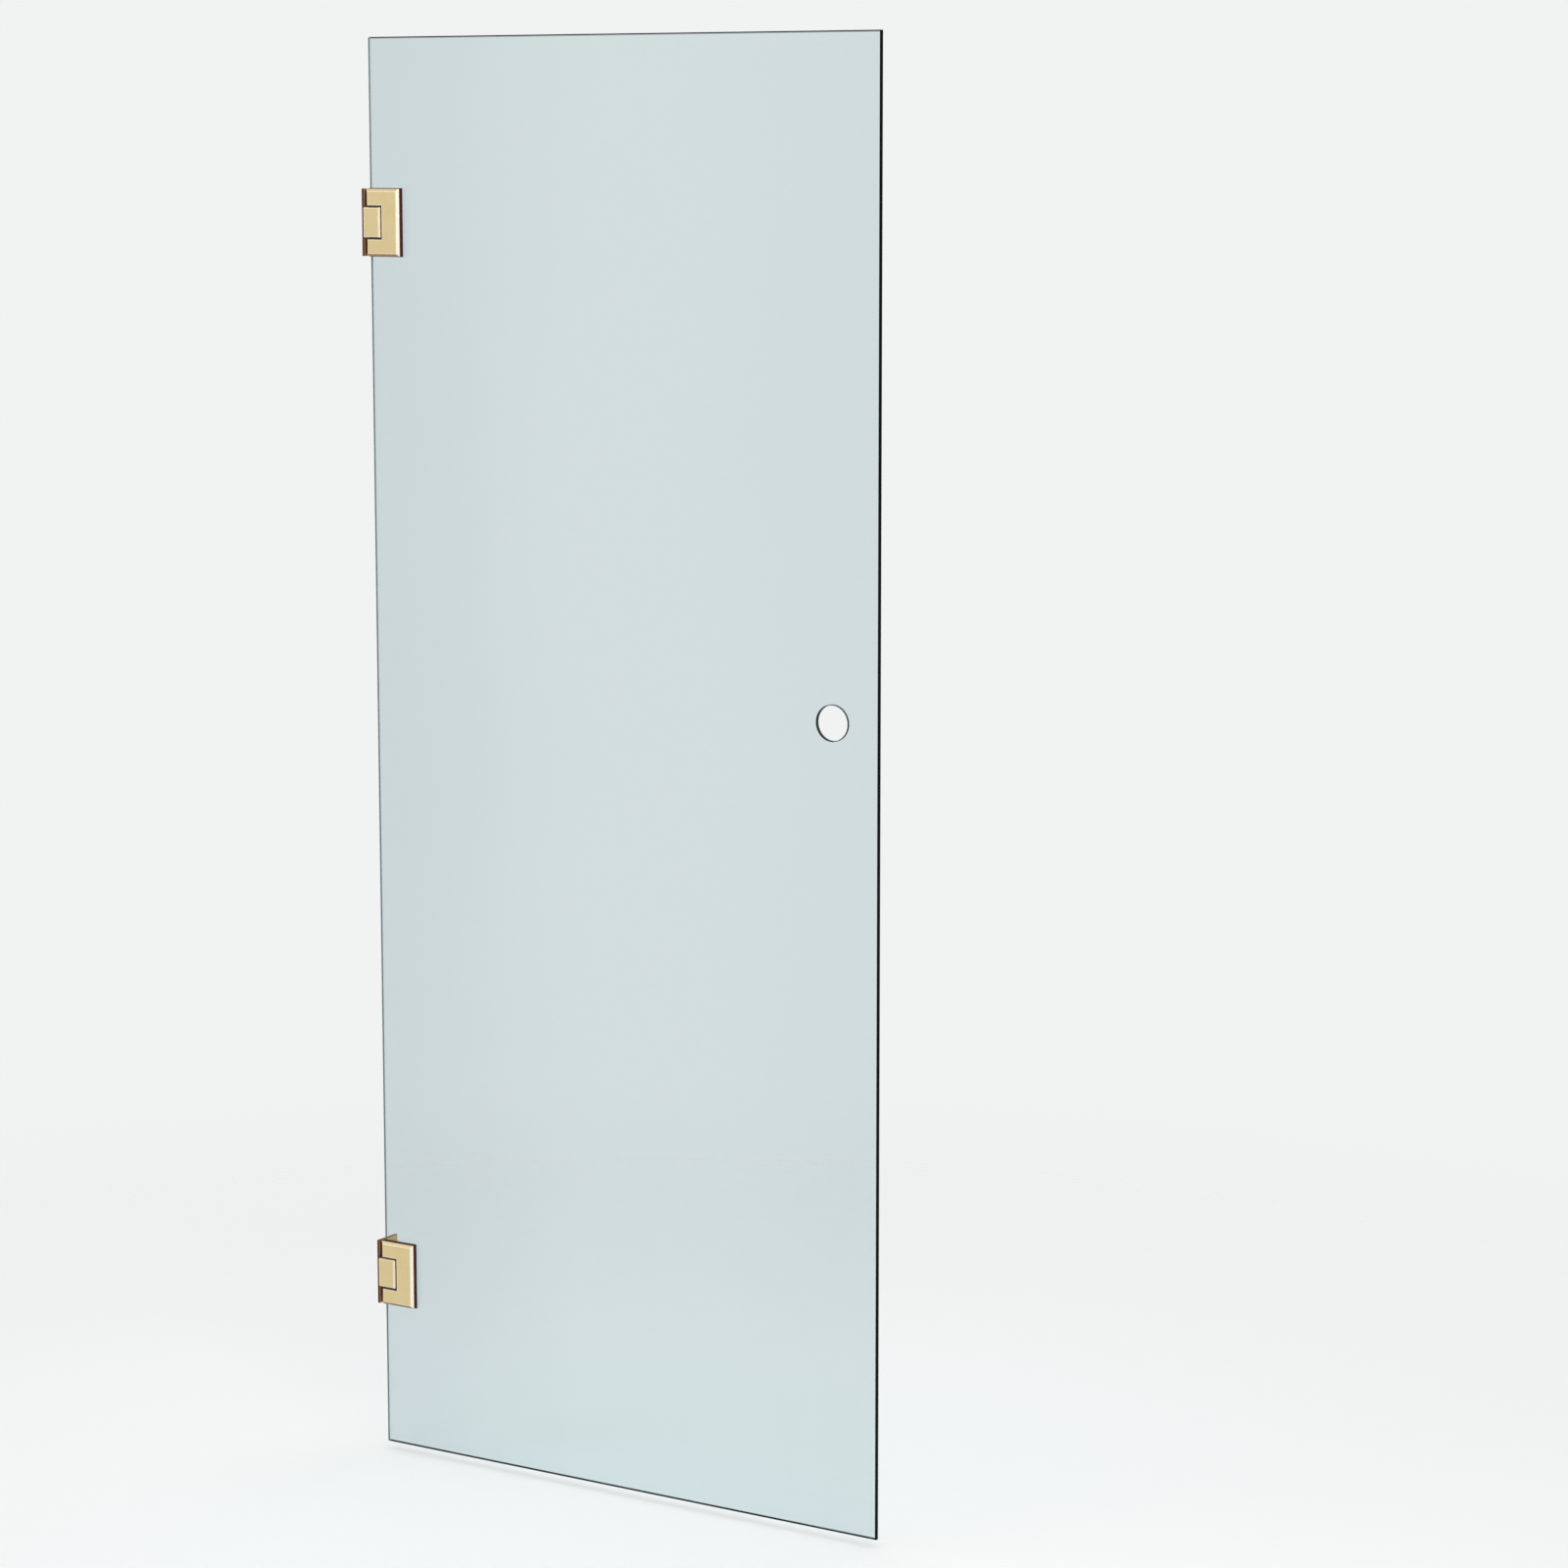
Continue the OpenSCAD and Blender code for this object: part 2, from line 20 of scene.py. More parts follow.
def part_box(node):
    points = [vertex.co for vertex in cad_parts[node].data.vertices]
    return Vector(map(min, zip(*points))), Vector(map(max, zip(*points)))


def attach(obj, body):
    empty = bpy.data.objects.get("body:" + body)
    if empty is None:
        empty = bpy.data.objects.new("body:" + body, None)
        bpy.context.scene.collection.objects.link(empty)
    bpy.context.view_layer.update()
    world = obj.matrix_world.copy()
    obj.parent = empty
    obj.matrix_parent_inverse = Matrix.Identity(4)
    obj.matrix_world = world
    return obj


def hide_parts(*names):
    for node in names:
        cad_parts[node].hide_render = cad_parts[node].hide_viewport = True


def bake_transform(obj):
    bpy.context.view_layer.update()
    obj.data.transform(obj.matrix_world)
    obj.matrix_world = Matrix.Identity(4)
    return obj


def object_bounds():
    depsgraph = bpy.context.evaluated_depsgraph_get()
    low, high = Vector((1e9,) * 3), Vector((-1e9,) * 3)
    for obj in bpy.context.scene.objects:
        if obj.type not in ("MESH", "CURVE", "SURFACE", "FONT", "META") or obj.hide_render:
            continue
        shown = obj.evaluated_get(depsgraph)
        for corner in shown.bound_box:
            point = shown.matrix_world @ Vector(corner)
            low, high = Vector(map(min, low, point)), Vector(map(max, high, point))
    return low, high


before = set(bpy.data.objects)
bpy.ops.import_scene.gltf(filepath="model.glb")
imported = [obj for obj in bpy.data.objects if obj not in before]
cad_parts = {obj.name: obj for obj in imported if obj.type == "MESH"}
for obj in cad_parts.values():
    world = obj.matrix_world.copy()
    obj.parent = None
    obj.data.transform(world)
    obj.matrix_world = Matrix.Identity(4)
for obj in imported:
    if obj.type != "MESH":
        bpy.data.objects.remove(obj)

CAD_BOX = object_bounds()
MM = 0.001
LOG = logging.getLogger("shower_door")

Colour = tuple[float, float, float]
Place = tuple[float, float, float]
Span = tuple[float, float]
Ring = list[Vector]
Socket = bpy.types.NodeSocket
Input = Socket | float | Sequence[float]

# The lamps aim at this point, near the middle of the door.
DOOR_MIDDLE: Place = (0.4, 0.0, 0.7)

# Each span gives the value at which a mask starts and the value at which it is full.
FLAT_SPAN: Span = (0.86, 0.97)    # share of a normal along an axis, from a bevel to a flat face
LEAN_SPAN: Span = (0.3, 0.6)      # share of a normal along an axis, from a side to a bevel
NOISE_SPAN: Span = (0.3, 0.7)     # the values that a noise mostly keeps between


class FaceAxis(Enum):
    """The direction that the show faces of a brass piece look along."""

    ACROSS_DOOR = (0.0, 1.0, 0.0)
    OFF_WALL = (1.0, 0.0, 0.0)


class ScrewTurn(Enum):
    """The axis that a screw is turned about, by a quarter, to look its way."""

    TO_SHOWER = "X"
    TO_WALL = "Y"


class Body(Enum):
    """The moving bodies of the door."""

    WALL_MOUNT = "wall_mount"
    DOOR = "door"


class Kind(Enum):
    """What an input or output of a shared effect holds."""

    NUMBER = "NodeSocketFloat"
    VECTOR = "NodeSocketVector"
    COLOUR = "NodeSocketColor"


class NodeGraph:
    """Adds nodes to one node tree and links them."""

    MIX_COLOURS = (6, 7)
    MIX_RESULT = 2
    NUMBER_RESULTS = ("DOT_PRODUCT", "DISTANCE", "LENGTH")

    def __init__(self, tree: bpy.types.NodeTree) -> None:
        """Keeps the tree that the nodes go into."""
        self.tree = tree

    def feed(self, socket: Socket, value: Input) -> None:
        """Links a socket to another, or sets its value.

        Args:
            socket: The input to fill.
            value: An output socket, a number, a vector or a colour.
        """
        if isinstance(value, Socket):
            self.tree.links.new(value, socket)
        elif socket.type == "RGBA":
            socket.default_value = (*value, 1.0)
        else:
            socket.default_value = value

    def fill(self, node: bpy.types.Node, values: dict) -> None:
        """Feeds several inputs of a node.

        Args:
            node: The node.
            values: Values or sockets by input name or number.
        """
        for key, value in values.items():
            self.feed(node.inputs[key], value)

    def add(self, kind: str, inputs: dict | None = None, **settings: object) -> bpy.types.Node:
        """Adds one node.

        Args:
            kind: The node's type name.
            inputs: Values or sockets by input name or number.
            **settings: Properties of the node.

        Returns:
            The new node.
        """
        node = self.tree.nodes.new(kind)
        for name, value in settings.items():
            setattr(node, name, value)
        self.fill(node, inputs or {})
        return node

    def cover(self, shader: bpy.types.Node, kind: str = "ShaderNodeOutputMaterial") -> None:
        """Ends the graph with a shader as its surface, by an output node of this kind."""
        self.add(kind, {"Surface": shader.outputs[0]})

    def math(self, operation: str, *values: Input) -> Socket:
        """Adds a Math node with these operands, and gives its result."""
        return self.add("ShaderNodeMath", dict(enumerate(values)), operation=operation).outputs[0]

    def vector_math(self, operation: str, *values: Input) -> Socket:
        """Adds a Vector Math node with these operands, and gives its number or vector."""
        node = self.add("ShaderNodeVectorMath", dict(enumerate(values)), operation=operation)
        return node.outputs["Value" if operation in self.NUMBER_RESULTS else "Vector"]

    def ramp(
        self, value: Input, start: float, end: float, low: Input = 0.0, high: Input = 1.0
    ) -> Socket:
        """Maps a value smoothly from one range to another.

        Args:
            value: The value to map.
            start: The value that gives low.
            end: The value that gives high.
            low: The result at start.
            high: The result at end.

        Returns:
            The mapped value.
        """
        node = self.add(
            "ShaderNodeMapRange",
            {"Value": value, "From Min": start, "From Max": end, "To Min": low, "To Max": high},
            interpolation_type="SMOOTHSTEP",
        )
        return node.outputs["Result"]

    def blend(self, factor: Input, first: Input, second: Input) -> Socket:
        """Mixes two colours.

        Args:
            factor: The share of the second colour.
            first: The first colour.
            second: The second colour.

        Returns:
            The mixed colour.
        """
        node = self.add("ShaderNodeMix", {0: factor}, data_type="RGBA")
        self.fill(node, dict(zip(self.MIX_COLOURS, (first, second))))
        return node.outputs[self.MIX_RESULT]

    def noise(
        self, place: Input, scale: Input, detail: float = 3.0, roughness: float = 0.5
    ) -> Socket:
        """Adds a Noise Texture.

        Args:
            place: The coordinates that it is read at.
            scale: Its scale.
            detail: Its number of octaves.
            roughness: The weight of the finer octaves.

        Returns:
            The noise's value, about 0.5 on average.
        """
        node = self.add(
            "ShaderNodeTexNoise",
            {"Vector": place, "Scale": scale, "Detail": detail, "Roughness": roughness},
        )
        return node.outputs["Fac"]

    def place(self) -> Socket:
        """Gives the coordinates in the piece's own axes."""
        return self.add("ShaderNodeTexCoord").outputs["Object"]

    def own_axes(self, normal: Input) -> Socket:
        """Turns a normal from the world's axes to the piece's own."""
        node = self.add(
            "ShaderNodeVectorTransform",
            {0: normal},
            vector_type="NORMAL",
            convert_from="WORLD",
            convert_to="OBJECT",
        )
        return node.outputs[0]

    def own_normal(self) -> Socket:
        """Gives the surface's normal in the piece's own axes."""
        return self.own_axes(self.add("ShaderNodeNewGeometry").outputs["Normal"])

    def bump(self, height: Input, strength: float, depth: float) -> Socket:
        """Adds a Bump node, whose depth is the size of a height of one, and gives its normal."""
        values = {"Height": height, "Strength": strength, "Distance": depth}
        return self.add("ShaderNodeBump", values).outputs[0]

    def effect(self, group: bpy.types.NodeTree, inputs: dict) -> bpy.types.NodeOutputs:
        """Places a shared effect with a material's own values, and gives its outputs."""
        return self.add("ShaderNodeGroup", inputs, node_tree=group).outputs


def new_effect(
    name: str, inputs: dict[str, Kind], outputs: dict[str, Kind]
) -> tuple[NodeGraph, dict, bpy.types.Node]:
    """Starts a node group for an effect.

    Args:
        name: The group's name.
        inputs: The kinds of its inputs, by name.
        outputs: The kinds of its outputs, by name.

    Returns:
        The group's graph, its input sockets by name, and its output node.
    """
    tree = bpy.data.node_groups.new(name, "ShaderNodeTree")
    for way, ports in (("INPUT", inputs), ("OUTPUT", outputs)):
        for port, kind in ports.items():
            tree.interface.new_socket(port, in_out=way, socket_type=kind.value)
    graph = NodeGraph(tree)
    entry = graph.add("NodeGroupInput")
    given = {socket.name: socket for socket in entry.outputs if socket.name}
    return graph, given, graph.add("NodeGroupOutput")


class SharedEffects:
    """The effects that several finishes use, each built once as a node group."""

    ROUNDING_SAMPLES = 6
    RIM_SPAN: Span = (0.03, 0.18)
    EDGE_SPAN: Span = (0.998, 0.95)
    PATCH_SPAN: Span = (0.35, 0.7)
    PATCHES_PER_METRE = 180.0
    STREAKS_PER_LINE = 0.16
    SMEAR_SPAN: Span = (0.5, 0.75)
    DROPS_PER_SMEAR = 12.0

    def __init__(self) -> None:
        """Builds all the groups."""
        self.faces = self._faces()
        self.wear = self._wear()
        self.grain = self._grain()
        self.mottle = self._mottle()
        self.handling = self._handling()

    def _rounded(self, graph: NodeGraph, radius: Socket) -> Socket:
        """Gives the normal, in the world's axes, as it would be with edges of this radius."""
        node = graph.add("ShaderNodeBevel", {"Radius": radius}, samples=self.ROUNDING_SAMPLES)
        return node.outputs[0]

    def _faces(self) -> bpy.types.NodeTree:
        """Builds the masks that tell show faces, bevels and sides apart by the way they look, to
        place painted highlight and shade.

        Returns:
            The group.
        """
        graph, given, out = new_effect(
            "face_and_bevel_masks",
            {"Axis": Kind.VECTOR, "Rim width": Kind.NUMBER},
            dict.fromkeys(("Face", "Bevel", "Shown", "Upper", "Under", "Rim"), Kind.NUMBER),
        )
        local = graph.own_normal()
        size = graph.math("ABSOLUTE", graph.vector_math("DOT_PRODUCT", local, given["Axis"]))
        face = graph.ramp(size, *FLAT_SPAN)
        shown = graph.ramp(size, *LEAN_SPAN)
        bevel = graph.math("SUBTRACT", shown, face)
        rounded = graph.own_axes(self._rounded(graph, given["Rim width"]))
        turned = graph.math("ABSOLUTE", graph.vector_math("DOT_PRODUCT", rounded, given["Axis"]))
        lean = graph.math("SUBTRACT", size, turned)
        rise = graph.add("ShaderNodeSeparateXYZ", {0: local}).outputs["Z"]
        # Upper, Under and Rim place painted light; the rim is where a painted dark line runs along
        # a bevel's outer edge.
        masks = {
            "Face": face,
            "Bevel": bevel,
            "Shown": shown,
            "Upper": graph.ramp(rise, *LEAN_SPAN),
            "Under": graph.ramp(rise, *(-edge for edge in LEAN_SPAN)),
            "Rim": graph.math("MULTIPLY", bevel, graph.ramp(lean, *self.RIM_SPAN)),
        }
        graph.fill(out, masks)
        return graph.tree

    def _wear(self) -> bpy.types.NodeTree:
        """Builds the mask of edges that hands and cloths have rubbed bright.

        Returns:
            The group.
        """
        graph, given, out = new_effect(
            "rubbed_edges",
            {"Radius": Kind.NUMBER, "Patchiness": Kind.NUMBER},
            {"Wear": Kind.NUMBER},
        )
        rounded = self._rounded(graph, given["Radius"])
        flat = graph.add("ShaderNodeNewGeometry").outputs["True Normal"]
        edge = graph.ramp(graph.vector_math("DOT_PRODUCT", rounded, flat), *self.EDGE_SPAN)
        spots = graph.noise(graph.place(), self.PATCHES_PER_METRE, detail=4.0)
        patches = graph.ramp(spots, *self.PATCH_SPAN)
        kept = graph.math("SUBTRACT", 1.0, given["Patchiness"])
        share = graph.math("MULTIPLY_ADD", patches, given["Patchiness"], kept)
        graph.fill(out, {"Wear": graph.math("MULTIPLY", edge, share)})
        return graph.tree

    def _grain(self) -> bpy.types.NodeTree:
        """Builds fine parallel lines, as a belt or a drawing die leaves them.

        Returns:
            The group.
        """
        graph, given, out = new_effect(
            "brushed_lines",
            {"Stretch": Kind.VECTOR, "Lines per metre": Kind.NUMBER},
            {"Height": Kind.NUMBER, "Streak": Kind.NUMBER},
        )
        drawn = graph.vector_math("MULTIPLY", graph.place(), given["Stretch"])
        wide = graph.math("MULTIPLY", given["Lines per metre"], self.STREAKS_PER_LINE)
        lines = {
            "Height": graph.noise(drawn, given["Lines per metre"], detail=4.0, roughness=0.65),
            "Streak": graph.noise(drawn, wide),
        }
        graph.fill(out, lines)
        return graph.tree

    def _mottle(self) -> bpy.types.NodeTree:
        """Builds slow changes of a colour over a surface.

        Returns:
            The group.
        """
        graph, given, out = new_effect(
            "uneven_colour",
            {
                "Colour": Kind.COLOUR,
                "Other": Kind.COLOUR,
                "Scale": Kind.NUMBER,
                "Amount": Kind.NUMBER,
            },
            {"Colour": Kind.COLOUR},
        )
        clouds = graph.noise(graph.place(), given["Scale"], detail=5.0, roughness=0.55)
        share = graph.math("MULTIPLY", graph.ramp(clouds, *NOISE_SPAN), given["Amount"])
        graph.fill(out, {"Colour": graph.blend(share, given["Colour"], given["Other"])})
        return graph.tree

    def _handling(self) -> bpy.types.NodeTree:
        """Builds faint smears, as wet hands and dried drops leave them.

        Returns:
            The group.
        """
        graph, given, out = new_effect(
            "faint_smears",
            {"Scale": Kind.NUMBER, "Amount": Kind.NUMBER},
            {"Smear": Kind.NUMBER},
        )
        place = graph.place()
        hands = graph.noise(place, given["Scale"], detail=6.0, roughness=0.6)
        finer = graph.math("MULTIPLY", given["Scale"], self.DROPS_PER_SMEAR)
        drops = graph.noise(place, finer, detail=2.0)
        smear = graph.math("MULTIPLY", graph.ramp(hands, *self.SMEAR_SPAN), drops)
        graph.fill(out, {"Smear": graph.math("MULTIPLY", smear, given["Amount"])})
        return graph.tree


def new_material(name: str) -> tuple[bpy.types.Material, NodeGraph]:
    """Starts an empty material.

    Args:
        name: The material's name.

    Returns:
        The material and its graph.
    """
    material = bpy.data.materials.new(name)
    material.use_nodes = True
    material.node_tree.nodes.clear()
    return material, NodeGraph(material.node_tree)


@dataclass(frozen=True)
class PaneFinish:
    """Clear tempered glass with a faint blue-green tint, whose ground edges are painted near black
    as shade.
    """

    tint: Colour = (0.725, 0.807, 0.821)
    tint_cooler: Colour = (0.669, 0.748, 0.772)
    cooler_by_wall: Span = (0.0, 0.38)
    cooler_by_free_edge: Span = (0.5, 0.85)
    free_edge_share: float = 0.3
    sway: float = 0.24
    sways_per_metre: float = 2.2
    # Painted shade: the ground edges and a thin margin along them take these near-black colours.
    edge: Colour = (0.0012, 0.0035, 0.0030)
    edge_shade_paler: Colour = (0.0035, 0.0080, 0.0070)
    edge_shade_by_wall: Colour = (0.230, 0.300, 0.285)
    edge_shade_in_hole: Colour = (0.030, 0.044, 0.042)
    wall_edge_reach: float = 2.0 * MM
    wall_edge_fade: float = 4.0 * MM
    hole_from_free_edge: float = 70.0 * MM
    hole_from_bottom: float = 1070.0 * MM
    hole_reach: float = 30.0 * MM
    hole_fade: float = 2.0 * MM
    painted_edge_margin: float = 1.7 * MM
    margin_fade: float = 0.2 * MM
    shadow: Colour = (0.82, 0.87, 0.87)
    refraction: float = 1.52
    edge_roughness: float = 0.30
    edge_shine: float = 0.02
    edge_smear: float = 0.2
    smear_roughness: float = 0.012

    def material(self, effects: SharedEffects) -> bpy.types.Material:
        """Builds the glass.

        Args:
            effects: The shared effects.

        Returns:
            The material.
        """
        material, graph = new_material("clear_pane")
        place = graph.place()
        axes = graph.add("ShaderNodeSeparateXYZ", {0: place}).outputs
        low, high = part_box("glass_panel")
        smear = graph.effect(effects.handling, {"Scale": 9.0, "Amount": 1.0})["Smear"]
        glass = graph.add(
            "ShaderNodeBsdfPrincipled",
            {
                "Base Color": self._tint(graph, place, axes["X"]),
                "Roughness": graph.math("MULTIPLY", smear, self.smear_roughness),
                "IOR": self.refraction,
                "Transmission Weight": 1.0,
            },
        )
        ground = graph.effect(
            effects.grain, {"Stretch": (1.0, 1.0, 1.0), "Lines per metre": 4200.0}
        )
        dull = graph.math("MULTIPLY", smear, self.edge_smear)
        # An opaque shader for the ground edges, painted near black as shade.
        painted_dark_edge = graph.add(
            "ShaderNodeBsdfPrincipled",
            {
                "Base Color": self._ground_edge(graph, effects, place, axes["X"]),
                "Roughness": graph.math("ADD", self.edge_roughness, dull),
                "Specular IOR Level": self.edge_shine,
                "Normal": graph.bump(ground["Height"], strength=0.12, depth=0.05 * MM),
            },
        )
        across = graph.vector_math("DOT_PRODUCT", graph.own_normal(), FaceAxis.ACROSS_DOOR.value)
        face = graph.ramp(graph.math("ABSOLUTE", across), *FLAT_SPAN)
        # Painted shade: a margin along each outer edge takes the dark ground-edge shader as well.
        for axis, edge, inward in (("X", high.x, -1.0), ("Z", high.z, -1.0), ("Z", low.z, 1.0)):
            start = edge + inward * (self.painted_edge_margin - 0.5 * self.margin_fade)
            inside = graph.ramp(axes[axis], start, start + inward * self.margin_fade)
            face = graph.math("MULTIPLY", face, inside)
        pane = graph.add("ShaderNodeMixShader", {0: face, 1: painted_dark_edge.outputs[0], 2: glass.outputs[0]})
        open_to_lamps = graph.add("ShaderNodeBsdfTransparent", {"Color": self.shadow})
        mixed = graph.add(
            "ShaderNodeMixShader",
            {
                0: graph.add("ShaderNodeLightPath").outputs["Is Shadow Ray"],
                1: pane.outputs[0],
                2: open_to_lamps.outputs[0],
            },
        )
        graph.cover(mixed)
        return material

    def _tint(self, graph: NodeGraph, place: Socket, along: Socket) -> Socket:
        """Mixes the tint, which is cooler by the wall and again a little by the free edge.

        Args:
            graph: The graph of the glass.
            place: The coordinates in the pane's axes.
            along: The coordinate away from the wall.

        Returns:
            The colour of the glass.
        """
        noise = graph.noise(place, self.sways_per_metre)
        sway = graph.math("MULTIPLY_ADD", noise, self.sway, -0.5 * self.sway)
        swayed = graph.math("ADD", along, sway)
        by_wall = graph.ramp(swayed, *self.cooler_by_wall, 1.0, 0.0)
        by_free_edge = graph.ramp(swayed, *self.cooler_by_free_edge, 0.0, self.free_edge_share)
        cooler = graph.math("ADD", by_wall, by_free_edge)
        return graph.blend(cooler, self.tint, self.tint_cooler)

    def _ground_edge(
        self, graph: NodeGraph, effects: SharedEffects, place: Socket, along: Socket
    ) -> Socket:
        """Mixes the painted shade of the ground edges, which is paler in the hole and on the wall
        side.

        Args:
            graph: The graph of the glass.
            effects: The shared effects.
            place: The coordinates in the pane's axes.
            along: The coordinate away from the wall.

        Returns:
            The colour of the ground edges.
        """
        low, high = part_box("glass_panel")
        painted_shade = graph.effect(
            effects.mottle,
            {"Colour": self.edge, "Other": self.edge_shade_paler, "Scale": 25.0, "Amount": 0.6},
        )["Colour"]
        start = low.x + self.wall_edge_reach
        by_wall = graph.ramp(along, start, start + self.wall_edge_fade, 1.0, 0.0)
        painted_shade = graph.blend(by_wall, painted_shade, self.edge_shade_by_wall)
        hole = (high.x - self.hole_from_free_edge, 0.0, low.z + self.hole_from_bottom)
        from_hole = graph.vector_math("DISTANCE", place, hole)
        hole_end = self.hole_reach + self.hole_fade
        in_hole = graph.ramp(from_hole, self.hole_reach, hole_end, 1.0, 0.0)
        return graph.blend(in_hole, painted_shade, self.edge_shade_in_hole)


@dataclass(frozen=True)
class BrassFinish:
    """Brass with satin show faces; its bevels and narrow sides carry painted highlight and painted
    shade.
    """

    name: str = "satin_brass"
    axis: FaceAxis = FaceAxis.ACROSS_DOOR
    face: Colour = (0.760, 0.610, 0.335)
    face_warmer: Colour = (0.720, 0.565, 0.290)
    # Painted light: the bevel colours are a painted highlight, a dimmer painted reflection on
    # bevels facing up and painted shade on bevels facing down.
    bevel: Colour = (0.985, 0.905, 0.760)
    upper_bevel_reflection: Colour = (0.800, 0.635, 0.370)
    under_bevel_shade: Colour = (0.380, 0.205, 0.080)
    # The side colours are painted shade on the narrow sides.
    side: Colour = (0.110, 0.036, 0.025)
    side_shade_lighter: Colour = (0.165, 0.058, 0.036)
    rubbed: Colour = (1.000, 0.920, 0.760)
    grazing: Colour = (0.600, 0.500, 0.420)
    metallic: float = 1.0
    edge_width: float = 3.0 * MM
    rim_width: float = 1.5 * MM
    rubbed_share: float = 0.9
    # Strength of the painted shade line along each bevel's outer rim.
    rim_shade_share: float = 0.9
    face_roughness: float = 0.30
    bevel_roughness: float = 0.14
    side_roughness: float = 0.34
    streak_roughness: float = 0.03
    side_lines: float = 0.2

    def material(self, effects: SharedEffects) -> bpy.types.Material:
        """Builds the brass.

        Args:
            effects: The shared effects.

        Returns:
            The material.
        """
        material, graph = new_material(self.name)
        masks = graph.effect(effects.faces, {"Axis": self.axis.value, "Rim width": self.rim_width})
        lines = graph.effect(
            effects.grain, {"Stretch": (1.0, 1.0, 0.03), "Lines per metre": 3000.0}
        )
        smear = graph.effect(effects.handling, {"Scale": 60.0, "Amount": 0.10})["Smear"]
        rough = graph.ramp(masks["Bevel"], 0.0, 1.0, self.side_roughness, self.bevel_roughness)
        rough = graph.ramp(masks["Face"], 0.0, 1.0, rough, self.face_roughness)
        uneven = self.streak_roughness
        streaks = graph.ramp(lines["Streak"], *NOISE_SPAN, -uneven, uneven)
        rough = graph.math("ADD", graph.math("ADD", rough, streaks), smear)
        share = graph.ramp(masks["Face"], 0.0, 1.0, self.side_lines, 1.0)
        height = graph.math("MULTIPLY", lines["Height"], share)
        metal = graph.add(
            "ShaderNodeBsdfPrincipled",
            {
                "Base Color": self._colour(graph, effects, masks),
                "Metallic": self.metallic,
                "Roughness": rough,
                "Specular Tint": self.grazing,
                "Normal": graph.bump(height, strength=0.14, depth=0.02 * MM),
            },
        )
        graph.cover(metal)
        return material

    def _colour(
        self, graph: NodeGraph, effects: SharedEffects, masks: bpy.types.NodeOutputs
    ) -> Socket:
        """Mixes the satin faces, the painted highlight and shade of bevels and sides, rubbed edges
        and a painted dark rim line.

        Args:
            graph: The graph of the brass.
            effects: The shared effects.
            masks: The masks of faces and bevels by name.

        Returns:
            The colour of the brass.
        """
        satin = graph.effect(
            effects.mottle,
            {"Colour": self.face, "Other": self.face_warmer, "Scale": 45.0, "Amount": 0.55},
        )["Colour"]
        # Painted shade of the narrow sides, with a mottle.
        painted_shade = graph.effect(
            effects.mottle,
            {"Colour": self.side, "Other": self.side_shade_lighter, "Scale": 90.0, "Amount": 0.7},
        )["Colour"]
        wear = graph.effect(effects.wear, {"Radius": self.edge_width, "Patchiness": 0.2})["Wear"]
        # Painted highlight and painted reflection on the bevels, painted shade under them and on
        # the sides.
        bevel_painted_light = graph.blend(masks["Upper"], self.bevel, self.upper_bevel_reflection)
        bevel_painted_light = graph.blend(masks["Under"], bevel_painted_light, self.under_bevel_shade)
        colour = graph.blend(masks["Bevel"], painted_shade, bevel_painted_light)
        colour = graph.blend(masks["Face"], colour, satin)
        rubbed = graph.math("MULTIPLY", wear, masks["Shown"])
        rubbed = graph.math("MULTIPLY", rubbed, self.rubbed_share)
        colour = graph.blend(rubbed, colour, self.rubbed)
        # Painted shade: a dark line along each bevel's outer rim.
        return graph.blend(graph.math("MULTIPLY", masks["Rim"], self.rim_shade_share), colour, painted_shade)


@dataclass(frozen=True)
class TurnedMetalFinish:
    """Bare steel with fine tool lines, a thin film of oil and edges rubbed bright."""

    name: str
    colour: Colour
    duller: Colour
    rubbed: Colour
    roughness: float
    stretch: Place
    lines_per_metre: float
    streak_roughness: float = 0.05
    rubbed_share: float = 0.7

    def material(self, effects: SharedEffects) -> bpy.types.Material:
        """Builds the metal.

        Args:
            effects: The shared effects.

        Returns:
            The material.
        """
        material, graph = new_material(self.name)
        base = graph.effect(
            effects.mottle,
            {"Colour": self.colour, "Other": self.duller, "Scale": 160.0, "Amount": 0.8},
        )["Colour"]
        wear = graph.effect(effects.wear, {"Radius": 0.2 * MM, "Patchiness": 0.4})["Wear"]
        lines = graph.effect(
            effects.grain, {"Stretch": self.stretch, "Lines per metre": self.lines_per_metre}
        )
        smear = graph.effect(effects.handling, {"Scale": 120.0, "Amount": 0.18})["Smear"]
        smoothest = self.roughness - self.streak_roughness
        roughest = self.roughness + self.streak_roughness
        rough = graph.ramp(lines["Streak"], *NOISE_SPAN, smoothest, roughest)
        rubbed = graph.math("MULTIPLY", wear, self.rubbed_share)
        metal = graph.add(
            "ShaderNodeBsdfPrincipled",
            {
                "Base Color": graph.blend(rubbed, base, self.rubbed),
                "Metallic": 1.0,
                "Roughness": graph.math("ADD", rough, smear),
                "Normal": graph.bump(lines["Height"], strength=0.2, depth=0.02 * MM),
            },
        )
        graph.cover(metal)
        return material


